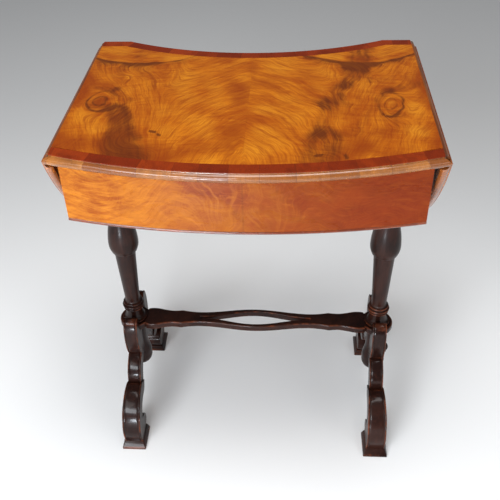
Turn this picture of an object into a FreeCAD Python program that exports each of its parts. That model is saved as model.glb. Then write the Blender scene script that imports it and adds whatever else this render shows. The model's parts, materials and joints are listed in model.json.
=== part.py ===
"""Drop-leaf sewing table: a bow-fronted, concave-backed case on two turned columns with scroll legs.

Frame: +Z up, origin on the floor under the middle of the table. -Y is the bowed side, +Y is the
concave sitter's side where the drawer opens, and the leaves hang on the -X and +X sides.
Every length is in millimetres.
"""
import FreeCAD
import Part
import math
import os

V = FreeCAD.Vector
Z = V(0, 0, 1)

# ---------------------------------------------------------------- overall sizes
HEIGHT = 720.0            # floor to the top's surface
TOP_T = 16.0              # thickness of the top and the leaves
HINGE_X = 286.0           # the top's surface ends here, over the leaf hinge line
FRONT_Y = 227.0           # the bow's arris in the middle of the front, from the centre
REAR_Y = 227.0            # the arris of the rear corners' short straights, from the centre
VENEER_T = 1.0
SLIVER_GAP = 0.3          # air between solids of different bodies that face each other

# ---------------------------------------------------------------- the top's outline
BOW_R = 900.0             # plan radius of the bowed front arris
HOLLOW_HALF = 235.0       # half the width of the concave stretch of the rear
HOLLOW_DEPTH = 54.5       # how far that stretch comes in
BAND_W = 22.0             # crossbanding

# rule joint between top and leaf
QUIRK = 3.0               # square step above the ovolo
OVOLO_R = 9.0
COVE_GAP = 0.5            # the leaf's cove is this much larger than the ovolo
LIP_GAP = 0.4

# edge moulding: a small step, then a round nose
NOSE_OUT = 6.0
NOSE_STEP = 3.0
NOSE_FILLET = 1.6         # flat ledge below the step
NOSE_FOOT = 2.5           # how far the nose's bottom stands out
STRIP_IN = 8.0            # how far the moulding strip reaches in under the band

# leaves, seen raised
LEAF_OUT = 212.0          # hinge line to the tip of the leaf's nose
LEAF_SIDE_R = 440.0       # plan radius of the leaf's two long sides
LEAF_SLOPE = 0.40         # slope of the side where it starts at the hinge line

# case
LEAF_GAP = 10.0           # air between the case's side and a hanging leaf
CASE_H = 98.0
CASE_FRONT_IN = 8.0       # bowed face behind the top's arris, in the middle
CASE_CORNER_OUT = 3.1     # its corners, in front of the arris and under the nose
FRIEZE_T = 18.0
REAR_INSET = 9.0          # case's rear face behind the top's arris
FLY_T = 18.0              # outer layer, which holds the fly brackets
SIDE_T = 14.0             # inner layer
RAIL_H = 12.0
RAIL_DEEP = 40.0
FLOOR_T = 8.0
BEAD_H = 5.0
BEAD_OUT = 1.5
BEAD_T = 6.0

# drawer
DRAWER_GAP = 0.6
DRAWER_SIDE_GAP = 3.5
DRAWER_SIDE_T = 8.0
DRAWER_FRONT_T = 18.0
DRAWER_BOTTOM_T = 4.0
DRAWER_BOTTOM_UP = 4.5    # bottom board above the sides' lower edge
GROOVE = 4.0
DIVIDER_T = 4.0
DIVIDER_H = 42.0
DIVIDER_Y = 10.0
KNOB_X = 110.0
KNOB_R = 15.0
KNOB_LONG = 25.0
KNOB_TENON_R = 5.0
KNOB_TIP_R = 3.0          # flat left by the lathe in the middle of a knob or button

# underframe
BEARER_T = 18.0
BEARER_HALF_W = 25.0
BEARER_HALF_L = 140.0
STRETCHER_TOP = 222.0
STRETCHER_T = 13.0
DISC_R = 31.0             # round end of the stretcher, between column and post
COLUMN_TENON_R = 10.0
COLUMN_TENON_L = 12.0
SPIGOT_R = 9.0            # foot of the column, through the disc into the post
SPIGOT_L = 38.0
LEG_W = 27.0              # upper scroll
LEG_LOW_W = 37.0          # lower scroll
LEG_NECK_W = 31.0         # lower scroll where it leaves the upper one
FOOT_W = 48.0
FOOT_LONG = 58.0
FOOT_REACH = 136.0        # outer end of a foot block, from the back of its leg
LEG_GAP = 1.0             # between the stretcher's round end and the legs' backs
POST_R = 18.0             # neck of the post
FOOT_H = 14.0
FOOT_EDGE = 4.0
BUTTON_R = 12.0
BUTTON_Z = 147.0

# leaf hinges
HINGE_LONG = 44.0
HINGE_KNUCKLE = 14.0      # the two fixed knuckles
HINGE_PLATE_T = 2.0
HINGE_BARREL_R = 3.0
HINGE_PIN_R = 1.4
HINGE_RUN = 0.05          # running clearance round the pin
HINGE_GAP = 0.3
HINGE_PLATE_W = 34.0
HINGE_FLAP_W = 40.0
HINGE_YS = (-105.0, 125.0)
SCREW_R = 1.4
SCREW_HEAD_R = 2.8
SCREW_L = 10.0

# fly brackets
FLY_KNUCKLE_IN = 0.2      # wooden knuckle inside the layer's faces
FLY_SLACK = 0.6
FLY_PIN_R = 2.0
FLY_LONG = 130.0
FLY_LOW = 34.0            # lower edge of the bracket at its knuckle, above the case's bottom
FLY_TIP_H = 26.0          # height of the bracket's tip
FLY_TOP_GAP = 0.6

# ---------------------------------------------------------------- derived places
top_low = HEIGHT - TOP_T
case_low = top_low - CASE_H
axis_z = HEIGHT - QUIRK - OVOLO_R
bow_cy = BOW_R - FRONT_Y
hollow_y = REAR_Y - HOLLOW_DEPTH
hollow_r = (HOLLOW_HALF ** 2 + HOLLOW_DEPTH ** 2) / (2 * HOLLOW_DEPTH)
hollow_cy = hollow_y + hollow_r
case_half = HINGE_X - (axis_z - top_low) - LEAF_GAP
case_front_y = FRONT_Y - CASE_FRONT_IN
case_bow = case_front_y - (math.sqrt(BOW_R ** 2 - case_half ** 2) - bow_cy + CASE_CORNER_OUT)
case_r = (case_half ** 2 + case_bow ** 2) / (2 * case_bow)
case_cy = case_r - case_front_y
case_rear_y = REAR_Y - REAR_INSET
case_rear_r = hollow_r + REAR_INSET
fly_in = case_half - FLY_T
pedestal_x = case_half - BEARER_HALF_W
side_in = fly_in - SIDE_T
column_top = case_low - BEARER_T
leg_back = DISC_R + LEG_GAP
foot_out = leg_back + FOOT_REACH
foot_in = foot_out - FOOT_LONG
LONG = 2 * (FRONT_Y + REAR_Y)   # longer than anything, for cutters

os.makedirs("parts", exist_ok=True)


# ---------------------------------------------------------------- helpers
def box(x0, y0, z0, x1, y1, z1):
    """A box from its two corners."""
    return Part.makeBox(x1 - x0, y1 - y0, z1 - z0, V(x0, y0, z0))


def disc(r, z0, z1, cx=0.0, cy=0.0):
    """An upright cylinder."""
    return Part.makeCylinder(r, z1 - z0, V(cx, cy, z0), Z)


def ring(r_in, r_out, z0, z1, cx, cy):
    """An upright tube."""
    return disc(r_out, z0, z1, cx, cy).cut(disc(r_in, z0 - 1, z1 + 1, cx, cy))


def face_of(edges):
    """A flat face bounded by edges that follow each other."""
    return Part.Face(Part.Wire(Part.__sortEdges__(edges)))


def lines(points):
    """Straight edges through the points."""
    return [Part.LineSegment(a, b).toShape() for a, b in zip(points, points[1:])]


def arc(a, b, c):
    """An arc from a through b to c."""
    return Part.Arc(a, b, c).toShape()


def spline(points):
    """A smooth curve through the points."""
    curve = Part.BSplineCurve()
    curve.interpolate(points)
    return curve.toShape()


def mirror_x(shape):
    """The shape on the other side of the middle plane."""
    return shape.mirror(V(0, 0, 0), V(1, 0, 0))


def mirror_y(shape):
    """The shape on the other side of the columns' plane."""
    return shape.mirror(V(0, 0, 0), V(0, 1, 0))


def turned(profile, x=0.0):
    """A turning about an upright axis; profile holds edges in the XZ plane, closed on the axis."""
    solid = face_of(profile).revolve(V(0, 0, 0), Z, 360)
    solid.translate(V(x, 0, 0))
    return solid


def export(name, *shapes):
    """Writes one node; several shapes become a group of separate solids."""
    solids = [s for shape in shapes for s in shape.Solids]
    bad = [s for s in solids if not s.isValid() or s.Volume <= 0]
    if bad or not solids:
        raise ValueError(name + " has a bad solid")
    shape = solids[0] if len(solids) == 1 else Part.makeCompound(solids)
    shape.exportStep("parts/" + name + ".step")
    print("%-22s %2d solid(s) %10.0f mm3" % (name, len(solids), shape.Volume))


# ---------------------------------------------------------------- the top
def rule_joint_prism():
    """The room the fixed top may fill: square quirk, then the ovolo about the hinge axis."""
    under = axis_z - top_low
    side = [V(0, 0, top_low), V(HINGE_X + math.sqrt(OVOLO_R ** 2 - under ** 2), 0, top_low)]
    rest = [V(HINGE_X, 0, axis_z + OVOLO_R), V(HINGE_X, 0, HEIGHT), V(0, 0, HEIGHT), side[0]]
    ovolo = arc(side[-1], V(HINGE_X + OVOLO_R, 0, axis_z), rest[0])
    half = face_of(lines(side) + [ovolo] + lines(rest)).extrude(V(0, LONG, 0))
    half.translate(V(0, -LONG / 2, 0))
    return half.fuse(mirror_x(half)).removeSplitter()


def plan(front_in, rear_in, z0, z1):
    """The top's outline between two heights, drawn in from the arris by the given amounts."""
    wide = HINGE_X + OVOLO_R
    slab = box(-wide, -LONG, z0, wide, REAR_Y - rear_in, z1)
    slab = slab.common(disc(BOW_R - front_in, z0, z1, 0, bow_cy))
    return slab.cut(disc(hollow_r + rear_in, z0 - 1, z1 + 1, 0, hollow_cy))


def nose_section(y, top):
    """The moulding's section in the YZ plane; the arris is at y and +Y is outwards."""
    ledge = HEIGHT - NOSE_STEP
    nose_top = V(0, y + NOSE_FILLET, ledge)
    nose_low = V(0, y + NOSE_FOOT, top_low)
    nose_mid = V(0, y + NOSE_OUT, (ledge + top_low) / 2)
    edges = [arc(nose_top, nose_mid, nose_low)]
    edges += lines([nose_low, V(0, y - STRIP_IN, top_low), V(0, y - STRIP_IN, top), V(0, y, top)])
    edges += lines([V(0, y, top), V(0, y, ledge), nose_top])
    return face_of(edges)


def hollow_mitre():
    """Everything on the straight side of the mitre where the rear's right straight begins."""
    turn = math.atan2(HOLLOW_HALF, hollow_cy - REAR_Y) / 2
    half = box(0, -LONG, 0, LONG, LONG, 2 * HEIGHT)
    half.rotate(V(0, 0, 0), Z, math.degrees(turn))
    half.translate(V(HOLLOW_HALF, REAR_Y, 0))
    return half


def rear_run(section_of, curved, room):
    """The three lengths along the rear edge, curved and straight, mitred where they meet."""
    mitre = hollow_mitre()
    straight = section_of(REAR_Y).extrude(V(LONG, 0, 0)).common(mitre)
    middle = curved.cut(mitre).cut(mirror_x(mitre))
    return [piece.common(room) for piece in (middle, straight, mirror_x(straight))]


def rear_moulding(prism):
    """The nose along the concave rear, with the outward side towards the hollow's centre."""
    section = nose_section(hollow_y, HEIGHT - VENEER_T)
    curved = section.revolve(V(0, hollow_cy, 0), Z, 360)
    near = box(-LONG, 0, 0, LONG, REAR_Y + 2 * NOSE_OUT, 2 * HEIGHT)
    return rear_run(lambda y: nose_section(y, HEIGHT - VENEER_T), curved, near.common(prism))


def front_moulding(prism):
    """The nose along the bowed front."""
    section = nose_section(FRONT_Y, HEIGHT - VENEER_T)
    section = mirror_y(section)
    curved = section.revolve(V(0, bow_cy, 0), Z, 360)
    near = box(-LONG, -LONG, 0, LONG, 0, 2 * HEIGHT)
    return [curved.common(near).common(prism)]


def rear_band():
    """Crossbanding along the rear edge."""
    low = HEIGHT - VENEER_T
    curved = ring(hollow_r, hollow_r + BAND_W, low, HEIGHT, 0, hollow_cy)

    def section_of(y):
        corners = [V(0, y - BAND_W, low), V(0, y, low), V(0, y, HEIGHT), V(0, y - BAND_W, HEIGHT)]
        return face_of(lines(corners + corners[:1]))

    return rear_run(section_of, curved, box(-HINGE_X, 0, low, HINGE_X, REAR_Y, HEIGHT))


def hinge_room(y0):
    """What one leaf hinge needs cut out of the top: barrel, swing of the flap, and plate."""
    y1 = y0 + HINGE_LONG
    barrel = Part.makeCylinder(
        HINGE_BARREL_R + HINGE_GAP, HINGE_LONG + 2 * HINGE_GAP,
        V(HINGE_X, y0 - HINGE_GAP, axis_z), V(0, 1, 0))
    under = axis_z - top_low
    swing = box(HINGE_X - under - HINGE_GAP, y0 - HINGE_GAP, top_low - 1,
                HINGE_X + OVOLO_R + 1, y1 + HINGE_GAP, axis_z + HINGE_GAP)
    plate = box(HINGE_X - HINGE_PLATE_W, y0, top_low - 1,
                HINGE_X - under, y1, top_low + HINGE_PLATE_T)
    return barrel.fuse([swing, plate])


def make_top():
    """Ground panel, two veneers matched on the middle line, bands and mouldings."""
    prism = rule_joint_prism()
    low = HEIGHT - VENEER_T
    ground = plan(STRIP_IN, STRIP_IN, top_low, low).common(prism)
    mouldings = {"front": front_moulding(prism), "rear": rear_moulding(prism)}
    field = plan(BAND_W, BAND_W, low, HEIGHT)
    band = ring(BOW_R - BAND_W, BOW_R, low, HEIGHT, 0, bow_cy)
    band = band.common(box(-HINGE_X, -LONG, low, HINGE_X, 0, HEIGHT))
    rear = rear_band()
    field = field.cut(Part.makeCompound(rear))
    export("top_veneer_left", field.common(box(-HINGE_X, -LONG, low, 0, LONG, HEIGHT)))
    export("top_veneer_right", field.common(box(0, -LONG, low, HINGE_X, LONG, HEIGHT)))
    export("top_crossband_front", band)
    export("top_crossband_rear", *rear)
    for pieces in mouldings.values():
        ground = ground.cut(Part.makeCompound(pieces))
    for y0 in HINGE_YS:
        room = hinge_room(y0)
        ground = ground.cut(room).cut(mirror_x(room))
    for screw in plate_screws():
        ground = ground.cut(screw)
    export("top_panel", ground)
    for side in mouldings:
        export("top_moulding_" + side, *mouldings[side])


# ---------------------------------------------------------------- leaves
corner_front = bow_cy - math.sqrt((BOW_R + NOSE_OUT) ** 2 - HINGE_X ** 2)
corner_rear = REAR_Y + NOSE_OUT
leaf_mid = (corner_front + corner_rear) / 2
slope_len = math.hypot(1, LEAF_SLOPE)
side_cx = HINGE_X - LEAF_SIDE_R * LEAF_SLOPE / slope_len
side_cy = corner_front + LEAF_SIDE_R / slope_len
# the tip's arc is tangent inside the side's arc, centred on the leaf's middle line
reach = HINGE_X + LEAF_OUT - side_cx
rise = leaf_mid - side_cy
tip_r = (LEAF_SIDE_R ** 2 - reach ** 2 - rise ** 2) / (2 * (LEAF_SIDE_R - reach))
tip_cx = HINGE_X + LEAF_OUT - tip_r
joint_dx = (tip_cx - side_cx) / (LEAF_SIDE_R - tip_r)
joint_dy = (leaf_mid - side_cy) / (LEAF_SIDE_R - tip_r)


def leaf_outline(inset, z0, z1):
    """The raised leaf's plan, drawn in from its nose, as a slab from the hinge line outwards."""
    tip = tip_r - inset
    joint = V(tip_cx + joint_dx * tip, leaf_mid + joint_dy * tip, z0)
    twin = V(joint.x, 2 * leaf_mid - joint.y, z0)
    radius = LEAF_SIDE_R - inset

    def on_side(x):
        return side_cy - math.sqrt(radius ** 2 - (x - side_cx) ** 2)

    half_way = (HINGE_X + joint.x) / 2
    start = V(HINGE_X, on_side(HINGE_X), z0)
    middle = V(half_way, on_side(half_way), z0)
    back = [V(p.x, 2 * leaf_mid - p.y, z0) for p in (start, middle)]
    edges = [
        arc(start, middle, joint),
        arc(joint, V(tip_cx + tip, leaf_mid, z0), twin),
        arc(twin, back[1], back[0]),
    ]
    return face_of(edges + lines([back[0], start])).extrude(V(0, 0, z1 - z0))


def leaf_cove():
    """The room the leaf must keep clear for the ovolo, along the whole hinge line."""
    radius = OVOLO_R + COVE_GAP
    round_part = Part.makeCylinder(radius, LONG, V(HINGE_X, -LONG / 2, axis_z), V(0, 1, 0))
    below = box(HINGE_X - 1, -LONG / 2, top_low - 1, HINGE_X + radius, LONG / 2, axis_z)
    lip = box(HINGE_X - 1, -LONG / 2, axis_z, HINGE_X + LIP_GAP, LONG / 2, HEIGHT + 1)
    return round_part.fuse([below, lip])


def leaf_nose():
    """The moulding round the leaf: one revolved run for each arc of its outline."""
    arris_side = LEAF_SIDE_R - NOSE_OUT
    arris_tip = tip_r - NOSE_OUT
    joint_turn = math.degrees(math.atan2(joint_dy, joint_dx))
    start_turn = math.degrees(math.atan2(corner_front - side_cy, HINGE_X - side_cx)) - 3

    def run(radius, cx, cy, turn0, turn1):
        section = nose_section(radius, HEIGHT)
        section.rotate(V(0, 0, 0), Z, turn0 - 90)
        section.translate(V(cx, cy, 0))
        return section.revolve(V(cx, cy, 0), Z, turn1 - turn0)

    side = run(arris_side, side_cx, side_cy, start_turn, joint_turn)
    tip = run(arris_tip, tip_cx, leaf_mid, joint_turn, -joint_turn)
    other = side.mirror(V(0, leaf_mid, 0), V(0, 1, 0))
    beyond = box(HINGE_X, -LONG, 0, LONG, LONG, 2 * HEIGHT)
    return side.fuse([tip, other]).common(beyond).cut(leaf_cove())


def hang(shape):
    """Turns a right-hand piece from the raised leaf's place to the hanging one."""
    hung = shape.copy()
    hung.rotate(V(HINGE_X, 0, axis_z), V(0, 1, 0), 90)
    return hung


def flap_pocket(y0):
    """Recess for a hinge flap in the raised leaf's underside."""
    return box(HINGE_X, y0 - HINGE_GAP, top_low - 1, HINGE_X + HINGE_FLAP_W,
               y0 + HINGE_LONG + HINGE_GAP, top_low + HINGE_PLATE_T)


def make_leaves():
    """Two leaves that hang beside the case, each a panel with its moulded edge."""
    inner = leaf_outline(NOSE_OUT + STRIP_IN, top_low, HEIGHT).cut(leaf_cove())
    for y0 in HINGE_YS:
        inner = inner.cut(flap_pocket(y0))
    for screw in flap_screws():
        inner = inner.cut(screw)
    nose = leaf_nose()
    for name, piece in (("leaf", inner), ("leaf_moulding", nose)):
        hung = hang(piece)
        export(name + "_right", hung)
        export(name + "_left", mirror_x(hung))


# ---------------------------------------------------------------- leaf hinges
def screw_up(x, y, z):
    """A countersunk wood screw whose head is flush with a downward face at z."""
    head = Part.makeCone(SCREW_HEAD_R, SCREW_R, HINGE_PLATE_T, V(x, y, z), Z)
    shank = disc(SCREW_R, z + HINGE_PLATE_T, z + SCREW_L - SCREW_R, x, y)
    point = Part.makeCone(SCREW_R, SCREW_R / 4, SCREW_R, V(x, y, z + SCREW_L - SCREW_R), Z)
    return head.fuse([shank, point]).removeSplitter()


def screw_places(xs):
    """Three screws to a plate: two at the corners and one in the middle, staggered."""
    near, far = xs
    for y0 in HINGE_YS:
        for x, share in ((near, 0.16), (far, 0.5), (near, 0.84)):
            yield x, y0 + share * HINGE_LONG


def plate_screws():
    """Screws of the fixed plates, both sides."""
    xs = (HINGE_X - 0.4 * HINGE_PLATE_W, HINGE_X - 0.8 * HINGE_PLATE_W)
    right = [screw_up(x, y, top_low) for x, y in screw_places(xs)]
    return right + [mirror_x(s) for s in right]


def flap_screws():
    """Screws of the right leaf's flaps, as the raised leaf holds them."""
    xs = (HINGE_X + 0.5 * HINGE_FLAP_W, HINGE_X + 0.8 * HINGE_FLAP_W)
    return [screw_up(x, y, top_low) for x, y in screw_places(xs)]


def barrel(y0, y1):
    """A length of hinge knuckle about the leaf's axis, without its hole."""
    return Part.makeCylinder(HINGE_BARREL_R, y1 - y0, V(HINGE_X, y0, axis_z), V(0, 1, 0))


def fixed_plate(y0):
    """The plate let into the top, with its two outer knuckles."""
    y1 = y0 + HINGE_LONG
    under = axis_z - top_low
    plate = box(HINGE_X - HINGE_PLATE_W, y0, top_low,
                HINGE_X - under - 2 * HINGE_GAP, y1, top_low + HINGE_PLATE_T)
    ends = []
    for a, b in ((y0, y0 + HINGE_KNUCKLE), (y1 - HINGE_KNUCKLE, y1)):
        tongue = box(HINGE_X - under - 2 * HINGE_GAP, a, top_low, HINGE_X, b, top_low + HINGE_PLATE_T)
        neck = box(HINGE_X - under, a, top_low, HINGE_X, b, axis_z)
        ends += [tongue, neck, barrel(a, b)]
    hole = Part.makeCylinder(HINGE_PIN_R + HINGE_RUN, HINGE_LONG + 2, V(HINGE_X, y0 - 1, axis_z), V(0, 1, 0))
    return plate.fuse(ends).cut(hole).removeSplitter()


def flap(y0):
    """The plate let into the leaf, with the middle knuckle, as the raised leaf holds it."""
    y1 = y0 + HINGE_LONG
    a = y0 + HINGE_KNUCKLE + HINGE_GAP
    b = y1 - HINGE_KNUCKLE - HINGE_GAP
    clear = HINGE_X + OVOLO_R + COVE_GAP
    plate = box(clear, y0, top_low, HINGE_X + HINGE_FLAP_W, y1, top_low + HINGE_PLATE_T)
    tongue = box(HINGE_X, a, top_low, clear, b, top_low + HINGE_PLATE_T)
    neck = box(HINGE_X, a, top_low, HINGE_X + HINGE_BARREL_R, b, axis_z)
    hole = Part.makeCylinder(HINGE_PIN_R + HINGE_RUN, HINGE_LONG + 2, V(HINGE_X, y0 - 1, axis_z), V(0, 1, 0))
    return plate.fuse([tongue, neck, barrel(a, b)]).cut(hole).removeSplitter()


def make_hinges():
    """Four rule-joint hinges: fixed plates, flaps, pins and screws."""
    fixed, moving = [], []
    for y0 in HINGE_YS:
        plate, leaf = fixed_plate(y0), flap(y0)
        for screw in plate_screws():
            plate = plate.cut(screw)
        for screw in flap_screws():
            leaf = leaf.cut(screw)
        fixed.append(plate)
        moving.append(hang(leaf))
    pins = [Part.makeCylinder(HINGE_PIN_R, HINGE_LONG, V(HINGE_X, y0, axis_z), V(0, 1, 0))
            for y0 in HINGE_YS]
    screws = [hang(s) for s in flap_screws()]
    export("hinge_plates_right", *fixed)
    export("hinge_plates_left", *[mirror_x(s) for s in fixed])
    export("hinge_flaps_right", *moving)
    export("hinge_flaps_left", *[mirror_x(s) for s in moving])
    export("hinge_pins", *(pins + [mirror_x(s) for s in pins]))
    export("hinge_plate_screws", *plate_screws())
    export("leaf_screws_right", *screws)
    export("leaf_screws_left", *[mirror_x(s) for s in screws])


# ---------------------------------------------------------------- case
def behind_front(depth, z0, z1):
    """Room inside the bowed front's face by the given depth."""
    return disc(case_r - depth, z0, z1, 0, case_cy)


def rear_hollow(depth, z0, z1):
    """What the concave rear takes away from the case, in from its face by the given depth."""
    return disc(case_rear_r + depth, z0, z1, 0, hollow_cy)


def make_front():
    """Bowed frieze and the small bead round its lower edge."""
    z0, z1 = case_low, top_low
    wide = box(-case_half, -LONG, z0, case_half, 0, z1)
    frieze = ring(case_r - FRIEZE_T, case_r, z0, z1, 0, case_cy).common(wide)
    rebate = ring(case_r - BEAD_T, case_r + 1, z0 - 1, z0 + BEAD_H, 0, case_cy)
    section = face_of(
        lines([V(0, -case_front_y, z0 + BEAD_H), V(0, BEAD_T - case_front_y, z0 + BEAD_H),
               V(0, BEAD_T - case_front_y, z0), V(0, -case_front_y, z0)])
        + [arc(V(0, -case_front_y, z0), V(0, -case_front_y - BEAD_OUT, z0 + BEAD_H / 2),
               V(0, -case_front_y, z0 + BEAD_H))])
    bead = section.revolve(V(0, case_cy, 0), Z, 360)
    export("front_frieze", frieze.cut(rebate))
    export("front_bead", bead.common(box(-case_half, -LONG, z0, case_half, 0, z1)))


def make_sides():
    """Inner side boards; the outer layer is the fly rail."""
    board = box(side_in, -LONG, case_low, fly_in, case_rear_y, top_low)
    board = board.common(behind_front(FRIEZE_T, case_low, top_low))
    export("side_rail_right", board)
    export("side_rail_left", mirror_x(board))


def make_drawer_frame():
    """Rails above and below the drawer, dust board, runners and kickers."""
    def rail(z0, z1):
        strip = ring(case_rear_r, case_rear_r + RAIL_DEEP, z0, z1, 0, hollow_cy)
        return strip.common(box(-side_in, 0, z0, side_in, case_rear_y, z1))

    export("drawer_rail_upper", rail(top_low - RAIL_H, top_low))
    export("drawer_rail_lower", rail(case_low, case_low + RAIL_H))
    floor_top = case_low + FLOOR_T
    board = box(-side_in, -LONG, case_low, side_in, case_rear_y, floor_top)
    board = board.common(behind_front(FRIEZE_T, case_low, floor_top))
    export("case_bottom", board.cut(rear_hollow(RAIL_DEEP, case_low - 1, floor_top + 1)))

    def strip(x0, x1, z0, z1):
        run = box(x0, -LONG, z0, x1, case_rear_y, z1)
        run = run.common(behind_front(FRIEZE_T, z0, z1))
        run = run.cut(rear_hollow(RAIL_DEEP, z0 - 1, z1 + 1))
        return [run, mirror_x(run)]

    run_top = case_low + RAIL_H - SLIVER_GAP / 3
    export("drawer_runners", *strip(side_in - 34, side_in, floor_top, run_top))
    export("drawer_kickers", *strip(side_in - 24, side_in, top_low - RAIL_H, top_low))


# ---------------------------------------------------------------- fly rails and brackets
fly_knuckle_r = FLY_T / 2 - FLY_KNUCKLE_IN
fly_x = fly_in + SLIVER_GAP + fly_knuckle_r
fly_low = case_low + FLY_LOW
fly_top = top_low - FLY_TOP_GAP
knuckle_a = fly_low + (fly_top - fly_low) / 3
knuckle_b = fly_top - (fly_top - fly_low) / 3


def bracket_shape(grow):
    """The right bracket's side view with its ogee lower edge, as a slab of the fly layer."""
    low, top, tip = fly_low - grow, fly_top + grow, FLY_LONG + grow
    rise = fly_top - FLY_TIP_H - grow
    half = [(low + rise) / 2, 0.68 * FLY_LONG]
    edges = lines([V(fly_in, tip, rise), V(fly_in, tip, top), V(fly_in, 0, top), V(fly_in, 0, low),
                   V(fly_in, 0.36 * FLY_LONG, low)])
    edges.append(spline([V(fly_in, 0.36 * FLY_LONG, low), V(fly_in, 0.52 * FLY_LONG, low + 0.16 * (rise - low)),
                         V(fly_in, half[1], half[0]),
                         V(fly_in, 0.84 * FLY_LONG, rise - 0.16 * (rise - low)), V(fly_in, tip, rise)]))
    return face_of(edges).extrude(V(FLY_T, 0, 0))


def make_fly():
    """The outer layer of each side, with the hinged bracket that holds a raised leaf."""
    rail = box(fly_in, -LONG, case_low, case_half, case_rear_y, top_low)
    rail = rail.common(behind_front(FRIEZE_T, case_low, top_low))
    wide = fly_knuckle_r + FLY_SLACK
    swing = box(fly_in, -wide, fly_low - FLY_SLACK, case_half, 0, top_low)
    rail = rail.cut(bracket_shape(FLY_SLACK)).cut(swing)
    fixed = [disc(fly_knuckle_r, fly_low - FLY_SLACK, knuckle_a - SLIVER_GAP, fly_x, 0),
             disc(fly_knuckle_r, knuckle_b + SLIVER_GAP, top_low, fly_x, 0)]
    webs = [box(fly_in, -wide - 1, fly_low - FLY_SLACK, case_half, 0, knuckle_a - SLIVER_GAP),
            box(fly_in, -wide - 1, knuckle_b + SLIVER_GAP, case_half, 0, top_low)]
    rail = rail.fuse(fixed + webs).removeSplitter()
    pin_hole = disc(FLY_PIN_R + HINGE_RUN, case_low + FLY_LOW / 2, top_low + 1, fly_x, 0)
    rail = rail.cut(pin_hole)

    bracket = bracket_shape(0).cut(disc(wide, case_low, knuckle_a, fly_x, 0))
    bracket = bracket.cut(disc(wide, knuckle_b, top_low, fly_x, 0))
    bracket = bracket.cut(box(fly_in - 1, -1, 0, fly_in + SLIVER_GAP, LONG, HEIGHT))
    bracket = bracket.cut(box(fly_in - 1, -1, 0, case_half + 1, fly_knuckle_r, knuckle_a))
    bracket = bracket.cut(box(fly_in - 1, -1, knuckle_b, case_half + 1, fly_knuckle_r, HEIGHT))
    bracket = bracket.fuse(disc(fly_knuckle_r, knuckle_a, knuckle_b, fly_x, 0)).removeSplitter()
    bracket = bracket.cut(disc(FLY_PIN_R + HINGE_RUN, case_low, top_low, fly_x, 0))
    pin = disc(FLY_PIN_R, case_low + FLY_LOW / 2, fly_top, fly_x, 0)
    export("fly_rail_right", rail)
    export("fly_rail_left", mirror_x(rail))
    export("fly_bracket_right", bracket)
    export("fly_bracket_left", mirror_x(bracket))
    export("bracket_pins", pin, mirror_x(pin))


# ---------------------------------------------------------------- drawer
drawer_half = side_in - DRAWER_SIDE_GAP
drawer_back_y = case_bow + FRIEZE_T - case_front_y
drawer_low = case_low + RAIL_H + DRAWER_GAP
drawer_high = top_low - RAIL_H - DRAWER_GAP
side_low = case_low + RAIL_H + SLIVER_GAP
bottom_low = side_low + DRAWER_BOTTOM_UP
bottom_high = bottom_low + DRAWER_BOTTOM_T


def knob():
    """A turned knob with its tenon, standing along +Y at the origin of its neck."""
    def at(r, y):
        return V(r, y, 0)

    tenon = -DRAWER_FRONT_T / 2
    profile = lines([at(0, KNOB_LONG), at(0, tenon), at(KNOB_TENON_R, tenon), at(KNOB_TENON_R, 0),
                     at(0.85 * KNOB_R, 0), at(0.85 * KNOB_R, 2)])
    profile.append(arc(at(0.85 * KNOB_R, 2), at(0.5 * KNOB_R, 0.32 * KNOB_LONG), at(0.55 * KNOB_R, 0.45 * KNOB_LONG)))
    tip = at(KNOB_TIP_R, KNOB_LONG)
    profile.append(arc(at(0.55 * KNOB_R, 0.45 * KNOB_LONG), at(KNOB_R, 0.7 * KNOB_LONG), tip))
    profile += lines([tip, at(0, KNOB_LONG)])
    return face_of(profile).revolve(V(0, 0, 0), V(0, 1, 0), 360)


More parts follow.
